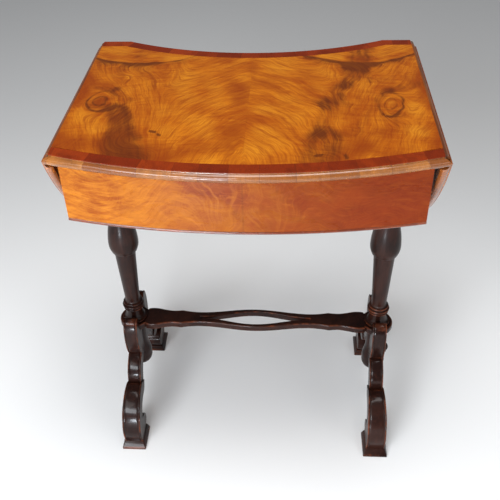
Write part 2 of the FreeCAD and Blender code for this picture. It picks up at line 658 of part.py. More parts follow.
def make_drawer():
    """Concave-fronted drawer with a fitted inside."""
    flat_y = case_rear_y - DRAWER_FRONT_T    # back of the front where it is straight
    front = ring(case_rear_r, case_rear_r + DRAWER_FRONT_T, drawer_low, drawer_high, 0, hollow_cy)
    front = front.common(box(-drawer_half, 0, drawer_low, drawer_half, case_rear_y, drawer_high))
    ends = box(-drawer_half, flat_y, drawer_low, drawer_half, case_rear_y, drawer_high)
    front = front.fuse(ends.cut(rear_hollow(0, drawer_low - 1, drawer_high + 1))).removeSplitter()
    back = box(-drawer_half + DRAWER_SIDE_T, drawer_back_y, bottom_high,
               drawer_half - DRAWER_SIDE_T, drawer_back_y + DRAWER_SIDE_T, drawer_high - 4)
    side = box(drawer_half - DRAWER_SIDE_T, drawer_back_y, side_low, drawer_half, flat_y, drawer_high - 4)
    side = side.cut(rear_hollow(DRAWER_FRONT_T, side_low - 1, drawer_high + 1))
    inside = drawer_half - DRAWER_SIDE_T + GROOVE
    bottom = box(-inside, drawer_back_y, bottom_low, inside, case_rear_y, bottom_high)
    bottom = bottom.cut(rear_hollow(DRAWER_FRONT_T - GROOVE, bottom_low - 1, bottom_high + 1))
    front = front.cut(bottom)
    side = side.cut(bottom)

    turn = math.asin(KNOB_X / case_rear_r)
    knobs = []
    for sign in (1, -1):
        one = knob()
        one.rotate(V(0, 0, 0), Z, sign * math.degrees(turn))
        # the knob's flat base beds into the concave face
        one.translate(V(sign * KNOB_X, hollow_cy - case_rear_r * math.cos(turn),
                        (drawer_low + drawer_high) / 2))
        front = front.cut(one)
        knobs.append(one)

    plate_y = hollow_cy - case_rear_r
    mid_z = (drawer_low + drawer_high) / 2
    plate = Part.makeCylinder(7, 2.5, V(0, plate_y - 1.5, mid_z + 12), V(0, 1, 0))
    tail = box(-4, plate_y - 1.5, mid_z - 4, 4, plate_y + 1, mid_z + 12)
    keyhole = Part.makeCylinder(2, DRAWER_FRONT_T + 6, V(0, plate_y - DRAWER_FRONT_T, mid_z + 12), V(0, 1, 0))
    slot = box(-1, plate_y - DRAWER_FRONT_T, mid_z + 3, 1, plate_y + 6, mid_z + 12)
    escutcheon = plate.fuse(tail).removeSplitter().cut(keyhole).cut(slot)
    front = front.cut(plate.fuse(tail)).cut(keyhole).cut(slot)
    lock = box(-26, plate_y - DRAWER_FRONT_T - 3, mid_z - 6, 26, plate_y - DRAWER_FRONT_T + 7, drawer_high)
    front = front.cut(lock)
    lock_room = lock.fuse(lock.translated(V(0, DRAWER_FRONT_T / 2, 0)))
    lock = lock.cut(keyhole).cut(slot)

    inner_half = drawer_half - DRAWER_SIDE_T
    low, high = bottom_high, bottom_high + DIVIDER_H
    long_one = box(-inner_half, DIVIDER_Y, low, inner_half, DIVIDER_Y + DIVIDER_T, high)
    dividers = [long_one]
    for x in (-inner_half / 2, 0.0, inner_half / 2):
        cross = box(x - DIVIDER_T / 2, DIVIDER_Y + DIVIDER_T, low, x + DIVIDER_T / 2, case_rear_y, high)
        dividers.append(cross.cut(rear_hollow(DRAWER_FRONT_T, low - 1, high + 1)).cut(lock_room))
    export("drawer_front", front)
    export("drawer_side_right", side)
    export("drawer_side_left", mirror_x(side))
    export("drawer_back", back)
    export("drawer_bottom", bottom)
    export("drawer_knobs", *knobs)
    export("drawer_escutcheon", escutcheon)
    export("drawer_lock", lock)
    export("drawer_dividers", *dividers)


# ---------------------------------------------------------------- columns, posts and stretcher
def column():
    """Baluster column: collar, vase, tapered shaft, ring cluster and spreading base."""
    top, low = column_top, STRETCHER_TOP

    def at(r, z):
        return V(r, 0, z)

    tenon_top = top + COLUMN_TENON_L
    spigot_low = low - SPIGOT_L
    profile = lines([at(SPIGOT_R, low), at(SPIGOT_R, spigot_low), at(0, spigot_low), at(0, tenon_top),
                     at(COLUMN_TENON_R, tenon_top), at(COLUMN_TENON_R, top), at(26, top), at(26, top - 5)])
    profile.append(arc(at(26, top - 5), at(24.5, top - 9), at(22, top - 11)))
    profile.append(arc(at(22, top - 11), at(18.4, top - 17), at(17.5, top - 27)))
    bulb_z = low + 196                      # widest part of the vase
    profile.append(spline([at(17.5, top - 27), at(19.5, bulb_z + 88), at(24.6, bulb_z + 36), at(27.9, bulb_z + 2),
                           at(27.0, bulb_z - 13), at(21.8, bulb_z - 26)]))
    shaft_top, shaft_low = bulb_z - 31, low + 50
    profile += lines([at(21.8, bulb_z - 26), at(21.8, bulb_z - 28), at(19.2, shaft_top), at(13.8, shaft_low)])
    profile.append(arc(at(13.8, shaft_low), at(14.8, shaft_low - 2.5), at(17, shaft_low - 4)))
    rings = ((17.0, 19.4, 5.0), (18.0, 21.6, 8.0), (18.0, 20.2, 6.0))
    z, r = shaft_low - 4, 17.0
    for r0, r1, tall in rings:
        if r != r0:
            profile += lines([at(r, z), at(r0, z)])
        profile.append(arc(at(r0, z), at(r1, z - tall / 2), at(r0, z - tall)))
        z, r = z - tall, r0
    profile += lines([at(r, z), at(16.5, z), at(16.5, z - 2)])
    profile.append(arc(at(16.5, z - 2), at(18.4, low + 9), at(24.5, low + 4)))
    profile += lines([at(24.5, low + 4), at(24.5, low), at(SPIGOT_R, low)])
    return turned(profile)


def post():
    """Turned drop below the stretcher that the legs are fixed to."""
    top = STRETCHER_TOP - STRETCHER_T

    def at(r, z):
        return V(r, 0, z)

    socket = STRETCHER_TOP - SPIGOT_L - 1
    profile = lines([at(0, socket), at(SPIGOT_R, socket), at(SPIGOT_R, top), at(24, top), at(24, top - 6)])
    profile.append(arc(at(24, top - 6), at(POST_R + 1.5, top - 8.5), at(POST_R, top - 14)))
    profile += lines([at(POST_R, top - 14), at(POST_R, top - 52)])
    profile.append(spline([at(POST_R, top - 52), at(20, top - 66), at(23, top - 79), at(23.5, top - 91)]))
    profile.append(arc(at(23.5, top - 91), at(20.5, top - 108), at(8, top - 115)))
    profile += lines([at(8, top - 115), at(0, top - 115), at(0, socket)])
    return turned(profile)


def stretcher_half_width(x):
    """Half the width of the stretcher's board at a distance x from its middle, inside the cusp."""
    if x <= 112:
        return 20.1 + 5.4 * math.cos(math.pi * x / 112)
    return 14.7 + 4.8 * ((x - 112) / 38) ** 2


def make_stretcher():
    """Shaped flat stretcher with round ends and a long pierced slot."""
    z0 = STRETCHER_TOP - STRETCHER_T

    def at(x, y):
        return V(x, y, z0)

    inner = [at(x, stretcher_half_width(x)) for x in (0, 14, 28, 42, 56, 70, 84, 98, 112, 125, 138, 150)]
    end = pedestal_x
    outer = [at(150, 19.5), at(end - 87, 18.1), at(end - 75, 17.8), at(end - 61, 20.4), at(end - 47, 23.9),
             at(end - 35, 24.8), at(end - 25, 23.4)]
    quarter = [spline(inner), spline(outer)]
    quarter += lines([outer[-1], at(end, 23.4), at(end, 0), at(0, 0), inner[0]])
    plate = face_of(quarter).extrude(V(0, 0, STRETCHER_T))
    plate = plate.fuse([mirror_x(plate), mirror_y(plate), mirror_x(mirror_y(plate))])
    ends = [disc(DISC_R, z0, STRETCHER_TOP, s * pedestal_x, 0) for s in (1, -1)]
    plate = plate.fuse(ends).removeSplitter()
    slot_half, blunt = 113.0, 1.5
    rim = [at(x, 9.6 + 8.1 * math.cos(math.pi * x / slot_half)) for x in
           [slot_half * i / 8 for i in range(-8, 9)]]
    edges = [spline(rim), spline([V(p.x, -p.y, z0) for p in rim])]
    edges += lines([at(-slot_half, blunt), at(-slot_half, -blunt)])
    edges += lines([at(slot_half, blunt), at(slot_half, -blunt)])
    slot = face_of(edges).extrude(V(0, 0, STRETCHER_T))
    plate = plate.cut(slot)
    for s in (1, -1):
        plate = plate.cut(disc(SPIGOT_R, z0 - 1, STRETCHER_TOP + 1, s * pedestal_x, 0))
    export("stretcher", plate)


# ---------------------------------------------------------------- legs and feet
def leg(post_solid):
    """Right rear scroll leg: an upper C-scroll in front of the post, a short link and a deep lower scroll."""
    under = STRETCHER_TOP - STRETCHER_T

    def at(f, z):
        return V(0, leg_back + f, z)

    upper = [at(0, 240), at(2.5, 249), at(9, 252), at(18, 247), at(25.5, 230), at(27.5, 205),
             at(24.5, 182), at(19.5, 166)]
    link = [at(13, 161), at(23, 157), at(38, 146), at(49, 130), at(54, 110)]
    lower = [at(60, 117), at(80, 114), at(102, 101), at(119, 83), at(130, 58), at(131.5, 38), at(126, FOOT_H)]
    curl = [at(86, FOOT_H), at(74, 24), at(73, 40), at(83, 53), at(96, 52)]
    inside = [at(98, 60), at(90, 76), at(70, 86), at(48, 86), at(32, 99), at(20, 122), at(4, 138),
              V(0, POST_R - 2, 142)]
    edges = [spline(upper)] + lines([upper[-1], link[0]]) + [spline(link)]
    edges += lines([link[-1], lower[0]]) + [spline(lower)] + lines([lower[-1], curl[0]]) + [spline(curl)]
    edges += lines([curl[-1], inside[0]]) + [spline(inside)]
    edges += lines([inside[-1], V(0, POST_R - 2, under), at(0, under), upper[0]])
    side = face_of(edges).extrude(V(LEG_LOW_W, 0, 0))
    side.translate(V(-LEG_LOW_W / 2, 0, 0))
    split = leg_back + 57.0                   # where the lower scroll begins
    slim = side.common(box(-LEG_W / 2, 0, 0, LEG_W / 2, split, HEIGHT))
    flare = 60.0                              # length over which the lower scroll reaches full width
    half0, half1 = LEG_NECK_W / 2, LEG_LOW_W / 2
    taper = face_of(lines([V(-half0, split, 0), V(-half1, split + flare, 0), V(-half1, LONG, 0), V(half1, LONG, 0),
                           V(half1, split + flare, 0), V(half0, split, 0), V(-half0, split, 0)]))
    wide = side.common(taper.extrude(V(0, 0, HEIGHT)))
    whole = slim.fuse(wide).removeSplitter()
    whole.translate(V(pedestal_x, 0, 0))
    return whole.cut(post_solid)


def foot():
    """Right rear foot block, bevelled at its outer end and both sides."""
    side_in_by, end_in_by = 5.0, 11.0
    x, w = pedestal_x, FOOT_W / 2
    base = box(x - w, foot_in, 0, x + w, foot_out, FOOT_EDGE)

    def at(dx, y, z):
        return V(x + dx, y, z)

    low = [at(-w, foot_in, FOOT_EDGE), at(w, foot_in, FOOT_EDGE), at(w, foot_out, FOOT_EDGE),
           at(-w, foot_out, FOOT_EDGE)]
    t, out = w - side_in_by, foot_out - end_in_by
    high = [at(-t, foot_in + 2, FOOT_H), at(t, foot_in + 2, FOOT_H), at(t, out, FOOT_H), at(-t, out, FOOT_H)]
    loops = [Part.makePolygon(p + [p[0]]) for p in (low, high)]
    return base.fuse(Part.makeLoft(loops, True)).removeSplitter()


def button():
    """Turned button on the outer side of the right post."""
    x0 = pedestal_x + POST_R - 6
    out = 17.0

    def at(r, x):
        return V(x0 + x, 0, BUTTON_Z + r)

    profile = lines([at(0, out), at(0, 0), at(5, 0), at(5, 8), at(BUTTON_R, 8), at(BUTTON_R, 11)])
    profile.append(arc(at(BUTTON_R, 11), at(0.72 * BUTTON_R, out - 1.5), at(KNOB_TIP_R, out)))
    profile += lines([at(KNOB_TIP_R, out), at(0, out)])
    return face_of(profile).revolve(V(x0, 0, BUTTON_Z), V(1, 0, 0), 360)


def make_underframe():
    """Bearers, columns, posts, legs, feet and buttons on both sides."""
    z1 = case_low
    bearer = box(pedestal_x - BEARER_HALF_W, -BEARER_HALF_L, column_top,
                 pedestal_x + BEARER_HALF_W, BEARER_HALF_L, z1)
    bearer = bearer.cut(disc(COLUMN_TENON_R, column_top - 1, column_top + COLUMN_TENON_L, pedestal_x, 0))
    pillar = column()
    pillar.translate(V(pedestal_x, 0, 0))
    drop = post()
    drop.translate(V(pedestal_x, 0, 0))
    knob_right = button()
    scroll, block = leg(drop), foot()
    drop = drop.cut(knob_right)
    pieces = {"bearer": bearer, "column": pillar, "post": drop, "post_button": knob_right}
    for name, piece in pieces.items():
        export(name + "_right", piece)
        export(name + "_left", mirror_x(piece))
    for name, piece in (("leg", scroll), ("foot", block)):
        export(name + "_rear_right", piece)
        export(name + "_rear_left", mirror_x(piece))
        export(name + "_front_right", mirror_y(piece))
        export(name + "_front_left", mirror_x(mirror_y(piece)))


make_top()
make_leaves()
make_hinges()
make_front()
make_sides()
make_drawer_frame()
make_fly()
make_drawer()
make_stretcher()
make_underframe()
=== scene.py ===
# %% [markdown]
# # A drop-leaf sewing table
# The table is already designed as solids: case, drawer, leaves, hinges and underframe all have their
# places. This lesson gives it its looks. Flat boards keep their solids and get a finish; turned,
# carved and veneered pieces are worked out again as fine surfaces, so that light runs over them.

# %% Load the frame
import bmesh
import bpy
import json
import math
import numpy as np
from mathutils import Matrix, Vector
from mathutils.geometry import tessellate_polygon


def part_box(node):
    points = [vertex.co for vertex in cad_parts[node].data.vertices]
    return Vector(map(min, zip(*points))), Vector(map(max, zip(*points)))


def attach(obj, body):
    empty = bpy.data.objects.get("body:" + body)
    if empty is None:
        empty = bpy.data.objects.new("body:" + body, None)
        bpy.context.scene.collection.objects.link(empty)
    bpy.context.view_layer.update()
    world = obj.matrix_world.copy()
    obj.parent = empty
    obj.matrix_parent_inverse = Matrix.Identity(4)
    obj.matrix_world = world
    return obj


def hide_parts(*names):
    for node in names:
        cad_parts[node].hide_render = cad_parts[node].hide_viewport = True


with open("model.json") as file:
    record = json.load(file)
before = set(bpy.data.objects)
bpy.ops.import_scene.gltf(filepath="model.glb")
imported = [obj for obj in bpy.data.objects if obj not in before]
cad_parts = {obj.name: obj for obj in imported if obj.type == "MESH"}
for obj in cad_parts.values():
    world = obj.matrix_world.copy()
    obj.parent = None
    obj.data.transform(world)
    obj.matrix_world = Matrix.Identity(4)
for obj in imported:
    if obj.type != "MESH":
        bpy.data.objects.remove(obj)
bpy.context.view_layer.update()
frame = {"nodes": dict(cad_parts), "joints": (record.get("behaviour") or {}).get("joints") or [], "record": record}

nodes = frame["nodes"]
MM = 0.001
slot_of = {row["node"]: row["material_slot"] for row in frame["record"]["subparts"]}


def box_mm(node):
    """Lowest and highest corner of a solid, in mm."""
    return [np.array(corner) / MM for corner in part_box(node)]


# %% [markdown]
# ## From a grid of numbers to a piece of wood
# A board's edge, a turned column and a carved leg can all be written as a function of two numbers,
# so one helper turns a grid of points into a mesh. It could be done by hand in edit mode, but a
# grid keeps its order, and so a value such as wear or length along the grain can ride on it.

# %% Surface helper
def grid_quads(rows, cols):
    """Corner numbers of the grid's faces; the last column joins the first."""
    r = np.arange(rows - 1)[:, None]
    c = np.arange(cols)[None, :]
    d = (c + 1) % cols
    return np.stack([r * cols + c, (r + 1) * cols + c, (r + 1) * cols + d, r * cols + d], -1).reshape(-1, 4)


def signed_volume(points, faces):
    """Six times the volume inside: the sum of p0 . (p1 x p2) over a fan of each face."""
    total = 0.0
    for face in faces:
        p = points[np.atleast_2d(face)]
        total += (p[:, :1] * np.cross(p[:, 1:-1], p[:, 2:])).sum()
    return total


def in_scene(name, data):
    """A new object in the scene."""
    made = bpy.data.objects.new(name, data)
    bpy.context.scene.collection.objects.link(made)
    return made


# %% A mesh made ready
def finished(name, mesh, material, node=None, fields=None, sharp=38.0, body="table"):
    """Gives a mesh its soft shading, its values per vertex and its finish, and puts it on its body."""
    mesh.polygons.foreach_set("use_smooth", np.ones(len(mesh.polygons), bool))
    mesh.set_sharp_from_angle(angle=math.radians(sharp))
    for key, values in (fields or {}).items():
        layer = mesh.attributes.new(key, "FLOAT", "POINT")
        layer.data.foreach_set("value", np.ascontiguousarray(values, dtype=np.float32).ravel())
    mesh.materials.append(material)
    made = in_scene(name, mesh)
    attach(made, body)
    if node:
        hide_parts(node)
    print(name, "vertices", len(mesh.vertices))
    return made


def piece(name, grid, material, node=None, fields=None, sharp=38.0, body="table"):
    """A closed piece from a grid: columns loop round, and the first and last rows are closed by a face.

    Row i, column j of the grid is vertex i * columns + j, and each field has one value per vertex."""
    rows, cols = grid.shape[:2]
    points = grid.reshape(-1, 3)
    quads = grid_quads(rows, cols)
    ends = [np.arange(cols), np.arange(cols)[::-1] + (rows - 1) * cols]
    if signed_volume(points, [quads, *ends]) < 0:
        quads, ends = quads[:, ::-1], [e[::-1] for e in ends]
    mesh = bpy.data.meshes.new(name)
    mesh.from_pydata(points.tolist(), [], quads.tolist() + [e.tolist() for e in ends])
    return finished(name, mesh, material, node, fields, sharp, body)


# %% [markdown]
# ## Curves that a turner would draw
# A profile is a few gouge cuts. Each cut here is a curve through three points, or a flowing line
# through several, and joining them end to end gives the whole profile.

# %% Curve helpers
def cut(a, m, b, n=9):
    """The parabola that starts at a, passes m half way and ends at b."""
    a, m, b = (np.array(p, float) for p in (a, m, b))
    t = np.linspace(0, 1, n)[:, None]
    c = 2 * m - (a + b) / 2
    return (1 - t) ** 2 * a + 2 * t * (1 - t) * c + t ** 2 * b


def flow(points, n=8):
    """A Catmull-Rom curve through the points, n steps between neighbours."""
    p = np.array(points, float)
    p = np.vstack([2 * p[0] - p[1], p, 2 * p[-1] - p[-2]])
    t = np.linspace(0, 1, n, endpoint=False)[None, :, None]
    a, b, c, d = (p[i:len(p) - 3 + i, None, :] for i in range(4))
    bend, twist = 2 * a - 5 * b + 4 * c - d, 3 * b - a - 3 * c + d
    run = 0.5 * (2 * b + (c - a) * t + bend * t ** 2 + twist * t ** 3)
    return np.vstack([run.reshape(-1, p.shape[1]), p[-2:-1]])


def spread(points, n):
    """The same line with n points, evenly spaced along its length."""
    p = np.array(points, float)
    s = np.concatenate([[0], np.cumsum(np.hypot(*np.diff(p, axis=0).T))])
    t = np.linspace(0, s[-1], n)
    return np.stack([np.interp(t, s, p[:, k]) for k in range(p.shape[1])], -1)


def smooth(values, width):
    """Running mean over the given number of neighbours."""
    padded = np.pad(values, width, mode="edge")
    return np.convolve(padded, np.ones(2 * width + 1) / (2 * width + 1), "valid")


def drift(x, y, size, seed, waves=18):
    """Slow noise between about -1 and 1: the mean of plane waves of random direction and phase."""
    pick = np.random.default_rng(seed)
    angle, phase = pick.uniform(0, 2 * np.pi, (2, waves))
    k = 2 * np.pi / size * pick.uniform(0.6, 1.6, waves)
    out = np.zeros(np.broadcast(x, y).shape)
    for a, p, w in zip(angle, phase, k):
        out += np.sin(w * (np.cos(a) * x + np.sin(a) * y) + p)
    return out / math.sqrt(waves)


print("curve of three points", cut((0, 0), (1, 1), (2, 0), 3).tolist())

# %% [markdown]
# ## A small language for shader nodes
# A wood finish needs dozens of maths nodes. Wiring each by name hides what the finish does, so a
# few short helpers stand for the nodes, and a finish reads like a sum.

# %% Node helpers
class Shade:
    """Adds nodes to one tree; each method returns the socket it made."""

    def __init__(self, tree):
        self.tree = tree

    def node(self, kind, **settings):
        made = self.tree.nodes.new(kind)
        for key, value in settings.items():
            setattr(made, key, value)
        return made

    def put(self, socket, value):
        if isinstance(value, bpy.types.NodeSocket):
            self.tree.links.new(value, socket)
        else:
            socket.default_value = value

    def filled(self, made, *values):
        """Fills a node's first sockets in order and returns its first output."""
        for socket, value in zip(made.inputs, values):
            self.put(socket, value)
        return made.outputs[0]

    def maths(self, what, *args):
        return self.filled(self.node("ShaderNodeMath", operation=what), *args)

    def add(self, a, b):
        return self.maths("ADD", a, b)

    def sub(self, a, b):
        return self.maths("SUBTRACT", a, b)

    def mul(self, a, b):
        return self.maths("MULTIPLY", a, b)

    def fit(self, value, low, high, to_low=0.0, to_high=1.0):
        """value from low..high to to_low..to_high, with soft ends and no overshoot."""
        made = self.node("ShaderNodeMapRange", interpolation_type="SMOOTHSTEP")
        return self.filled(made, value, low, high, to_low, to_high)

    def place(self, scale=1, source=None):
        """The piece's own coordinates, or source, times scale: one number or one for each axis."""
        made = self.node("ShaderNodeMapping")
        self.put(made.inputs["Vector"], source or self.node("ShaderNodeTexCoord").outputs["Object"])
        made.inputs["Scale"].default_value = scale if isinstance(scale, tuple) else (scale,) * 3
        return made.outputs[0]

    def noise(self, vector, detail=3.0, rough=0.55, warp=0.0):
        made = self.node("ShaderNodeTexNoise")
        for key, value in (("Vector", vector), ("Scale", 1.0), ("Detail", detail), ("Roughness", rough),
                           ("Distortion", warp)):
            self.put(made.inputs[key], value)
        return made.outputs[0]

    def attribute(self, name):
        return self.node("ShaderNodeAttribute", attribute_name=name).outputs["Fac"]

    def mix(self, amount, a, b):
        made = self.node("ShaderNodeMix", data_type="RGBA", clamp_factor=True)
        for socket, value in zip((made.inputs[0], made.inputs[6], made.inputs[7]), (amount, a, b)):
            self.put(socket, (*value, 1) if isinstance(value, tuple) else value)
        return made.outputs[2]

    def layers(self, colour, *coats):
        """Lays coats over a colour, each given as its mask, how much of that shows, and its colour."""
        for mask, share, tint in coats:
            colour = self.mix(self.mul(mask, share), colour, tint)
        return colour

    def split(self):
        made = self.node("ShaderNodeSeparateXYZ")
        self.put(made.inputs[0], self.node("ShaderNodeTexCoord").outputs["Object"])
        return made.outputs

    def join(self, x, y, z):
        return self.filled(self.node("ShaderNodeCombineXYZ"), x, y, z)

    def bump(self, height, distance, strength):
        made = self.node("ShaderNodeBump")
        for key, value in (("Height", height), ("Distance", distance), ("Strength", strength)):
            self.put(made.inputs[key], value)
        return made.outputs[0]

    def use(self, group, **values):
        made = self.node("ShaderNodeGroup", node_tree=group)
        for key, value in values.items():
            self.put(made.inputs[key.replace("_", " ")], value)
        return made.outputs


# %% Node groups and finishes
def effect(name, inputs, outputs):
    """A new node group with the named sockets; returns the group, a Shade and both ends."""
    group = bpy.data.node_groups.new(name, "ShaderNodeTree")
    for key, kind, value in inputs:
        socket = group.interface.new_socket(name=key, in_out="INPUT", socket_type="NodeSocket" + kind)
        if value is not None:
            socket.default_value = value
    for key, kind in outputs:
        group.interface.new_socket(name=key, in_out="OUTPUT", socket_type="NodeSocket" + kind)
    shade = Shade(group)
    return group, shade, shade.node("NodeGroupInput").outputs, shade.node("NodeGroupOutput").inputs


def finish_of(name, paint, rough, coat=0.0, coat_rough=0.1, metal=0.0, specular=0.5):
    """A material: paint(shade) gives colour, roughness and normal; even values go on the shader."""
    made = bpy.data.materials.new(name)
    made.use_nodes = True
    shade = Shade(made.node_tree)
    shader = made.node_tree.nodes["Principled BSDF"]
    colour, roughness, normal = paint(shade)
    for key, value in (("Base Color", colour), ("Roughness", rough if roughness is None else roughness),
                       ("Normal", normal)):
        if value is not None:
            shade.put(shader.inputs[key], value)
    for key, value in (("Metallic", metal), ("Coat Weight", coat), ("Coat Roughness", coat_rough),
                       ("Specular IOR Level", specular)):
        shader.inputs[key].default_value = value
    return made


print("helpers ready")

# %% [markdown]
# ## Effects that several finishes share
# Polished walnut of any tone has pores, a silky cross figure and rubbed places. Those go in node
# groups, because a fault mended in a group is mended in every finish that uses it.

# %% Walnut's fine figure
fine_figure, g, come, go = effect("Walnut fine figure",
                                  [("Vector", "Vector", None), ("Grain Angle", "Float", 0.0)],
                                  [("Pores", "Float"), ("Curl", "Float"), ("Streaks", "Float")])
turned_place = g.node("ShaderNodeVectorRotate", rotation_type="Z_AXIS")
g.put(turned_place.inputs["Vector"], come["Vector"])
g.put(turned_place.inputs["Angle"], come["Grain Angle"])
along = turned_place.outputs[0]
long_pores = g.noise(g.place((260, 2400, 2400), source=along), 2.0, 0.6)
g.put(go["Pores"], g.fit(long_pores, 0.60, 0.72))
silk = g.noise(g.place((150, 26, 60), source=along), 2.0, 0.5, 0.8)
g.put(go["Curl"], g.fit(silk, 0.30, 0.72))
streak = g.noise(g.place((9, 150, 150), source=along), 4.0, 0.62, 0.3)
g.put(go["Streaks"], g.fit(streak, 0.28, 0.74))

# %% [markdown]
# Cross-grained edging is laid in short lengths, each from a different part of the plank, so its tone
# jumps every few centimetres and a dark hair of glue shows between lengths. The group needs only
# the distance along the edge: its whole part numbers the length, and a random value follows.

# %% Short cross-grained lengths
lengths, g, come, go = effect("Cross-grained lengths",
                              [("Run", "Float", 0.0), ("Across", "Float", 0.0), ("Length", "Float", 0.045)],
                              [("Tone", "Float"), ("Joint", "Float"), ("Grain", "Float")])
wander = g.noise(g.join(g.mul(come["Run"], 14.0), 3.0, 0.0), 1.0)
place_in = g.add(g.maths("DIVIDE", come["Run"], come["Length"]), g.mul(wander, 1.7))
number = g.maths("FLOOR", place_in)
pick_tone = g.node("ShaderNodeTexWhiteNoise", noise_dimensions="1D")
g.put(pick_tone.inputs["W"], number)
g.put(go["Tone"], pick_tone.outputs["Value"])
edge = g.maths("ABSOLUTE", g.sub(g.maths("FRACT", place_in), 0.5))
g.put(go["Joint"], g.fit(edge, 0.482, 0.497))
hairs = g.noise(g.join(g.mul(come["Run"], 900.0), g.mul(come["Across"], 90.0), number), 3.0, 0.6)
g.put(go["Grain"], g.fit(hairs, 0.28, 0.72))

# %% [markdown]
# Hands and dusters thin the polish on every arris and leave wax and dust in every hollow. A piece
# that has a relief value shows where it is proud or sunk, and noise keeps the wear from being even.

# %% Rubbed arrises and filled hollows
rubbed, g, come, go = effect("Rubbed and waxed",
                             [("Relief", "Float", 0.0), ("Vector", "Vector", None)],
                             [("Rubbed", "Float"), ("Filled", "Float"), ("Smear", "Float")])
patches = g.noise(g.place(34, source=come["Vector"]), 3.0, 0.6)
g.put(go["Rubbed"], g.mul(g.fit(come["Relief"], 0.15, 0.95), g.fit(patches, 0.40, 0.66)))
g.put(go["Filled"], g.mul(g.fit(come["Relief"], -0.10, -0.75), g.fit(patches, 0.30, 0.60)))
g.put(go["Smear"], g.noise(g.place(11, source=come["Vector"]), 4.0, 0.6, 0.6))

# %% Distance round a centre
round_run, g, come, go = effect("Run round a centre",
                                [("X", "Float", 0.0), ("Y", "Float", 0.0), ("Radius", "Float", 1.0)],
                                [("Run", "Float"), ("Across", "Float")])
g.put(go["Run"], g.mul(g.maths("ARCTAN2", come["X"], come["Y"]), come["Radius"]))
g.put(go["Across"], g.maths("SQRT", g.add(g.mul(come["X"], come["X"]), g.mul(come["Y"], come["Y"]))))
print("effects", fine_figure.name, lengths.name, rubbed.name, round_run.name)

# %% [markdown]
# ## The finishes
# The show wood is walnut under old shellac: amber where the sapwood runs, red-brown at the edges.
# The veneer's figure is too particular for noise alone, so its surface carries four values, worked
# out further down: the phase of its growth lines, how dark it is, how red, and how its grain lies.
# The finish turns them into colour, and the shared groups add pores and silk.

# %% Figured veneer on the top
HONEY = (0.53, 0.155, 0.006)
AMBER = (0.37, 0.080, 0.003)
RUST = (0.22, 0.030, 0.002)
UMBER = (0.085, 0.014, 0.003)


def along_lines(g, rings, across, along, detail=4.0):
    """Noise drawn out along the growth lines: quick from line to line, slow on the way along one."""
    xyz = g.split()
    on_the_way = g.mul(g.add(xyz[1], xyz[2]), along)
    return g.noise(g.join(g.mul(rings, across), g.mul(xyz[0], along), on_the_way), detail, 0.6)


def paint_top(g):
    """Bands, streaks and hairs follow the growth lines; a ripple crosses them; stains lie over all."""
    xyz = g.split()
    fine = g.use(fine_figure, Vector=g.place(), Grain_Angle=g.attribute("lie"))
    waver = g.noise(g.place(34), 4.0, 0.6, 0.5)
    rings = g.add(g.attribute("rings"), g.mul(waver, 0.16))
    bands = along_lines(g, rings, 0.42, 7.0, 3.0)
    streak = along_lines(g, rings, 2.5, 16.0)
    hair = along_lines(g, rings, 10.0, 40.0, 3.0)
    swing = g.mul(g.maths("ABSOLUTE", xyz[0]), 26.0)
    rise = g.add(g.mul(xyz[1], 150.0), swing)
    ripple = g.noise(g.join(g.mul(xyz[0], 26.0), rise, g.mul(waver, 2.0)), 3.0, 0.6, 0.6)
    golden = g.maths("MAXIMUM", g.mul(g.attribute("red"), -1.0), 0.0)
    reddened = g.maths("MAXIMUM", g.attribute("red"), 0.0)
    flecked = g.maths("MULTIPLY_ADD", fine["Curl"], -0.10, g.attribute("dark"))
    grained = g.add(g.mul(g.sub(streak, 0.5), 0.55), g.mul(g.sub(hair, 0.5), 0.22))
    colour = g.layers(
        g.mix(g.fit(bands, 0.30, 0.66), AMBER, HONEY),
        (g.fit(ripple, 0.48, 0.74), 0.50, RUST),
        (g.fit(ripple, 0.48, 0.26), 0.45, (0.62, 0.215, 0.010)),
        (golden, 0.70, (0.66, 0.25, 0.014)),
        (reddened, 0.85, RUST),
        (g.fit(streak, 0.45, 0.72), 0.60, RUST),
        (g.fit(hair, 0.42, 0.66), 0.50, RUST),
        (g.fit(g.add(flecked, grained), 0.02, 0.86), 0.88, UMBER),
        (fine["Curl"], 0.12, HONEY),
        (fine["Pores"], 0.30, UMBER))
    spots = g.noise(g.place(5), 3.0, 0.55)
    rough = g.add(g.fit(spots, 0.3, 0.7, 0.22, 0.36), g.mul(fine["Pores"], 0.06))
    height = g.add(g.noise(g.place(22), 2.0), g.mul(fine["Pores"], -0.12))
    return colour, rough, g.bump(height, 0.0004, 0.4)


top_veneer = finish_of("Figured walnut veneer", paint_top, 0.28, coat=0.05, coat_rough=0.14, specular=0.18)


# %% Crossbanding and edge moulding
def darker(colour):
    """The same hue at six tenths of its strength."""
    return tuple(0.6 * part for part in colour)


def paint_edging(pale, deep, joint_dark, arc=None):
    """Short lengths that step in tone; arc = (y, z, radius) in metres works the run out from the place."""
    def paint(g):
        if arc is None:
            run, across = g.attribute("run"), g.attribute("across")
        else:
            xyz = g.split()
            where = g.use(round_run, X=g.sub(xyz[1], arc[0]), Y=g.sub(xyz[2], arc[1]), Radius=arc[2])
            run, across = where["Run"], where["Across"]
        made = g.use(lengths, Run=run, Across=across)
        shade = g.noise(g.place(30), 4.0, 0.6, 0.5)
        colour = g.layers(
            g.mix(g.fit(made["Tone"], 0.15, 0.95), pale, deep),
            (made["Grain"], 0.38, UMBER),
            (g.fit(shade, 0.40, 0.7), 0.60, darker(deep)),
            (made["Joint"], joint_dark, UMBER))
        steps = g.add(g.mul(made["Joint"], -0.8), g.mul(made["Tone"], 0.5))
        height = g.add(g.mul(made["Grain"], 0.25), steps)
        return colour, g.fit(shade, 0.3, 0.7, 0.20, 0.33), g.bump(height, 0.0002, 0.55)
    return paint


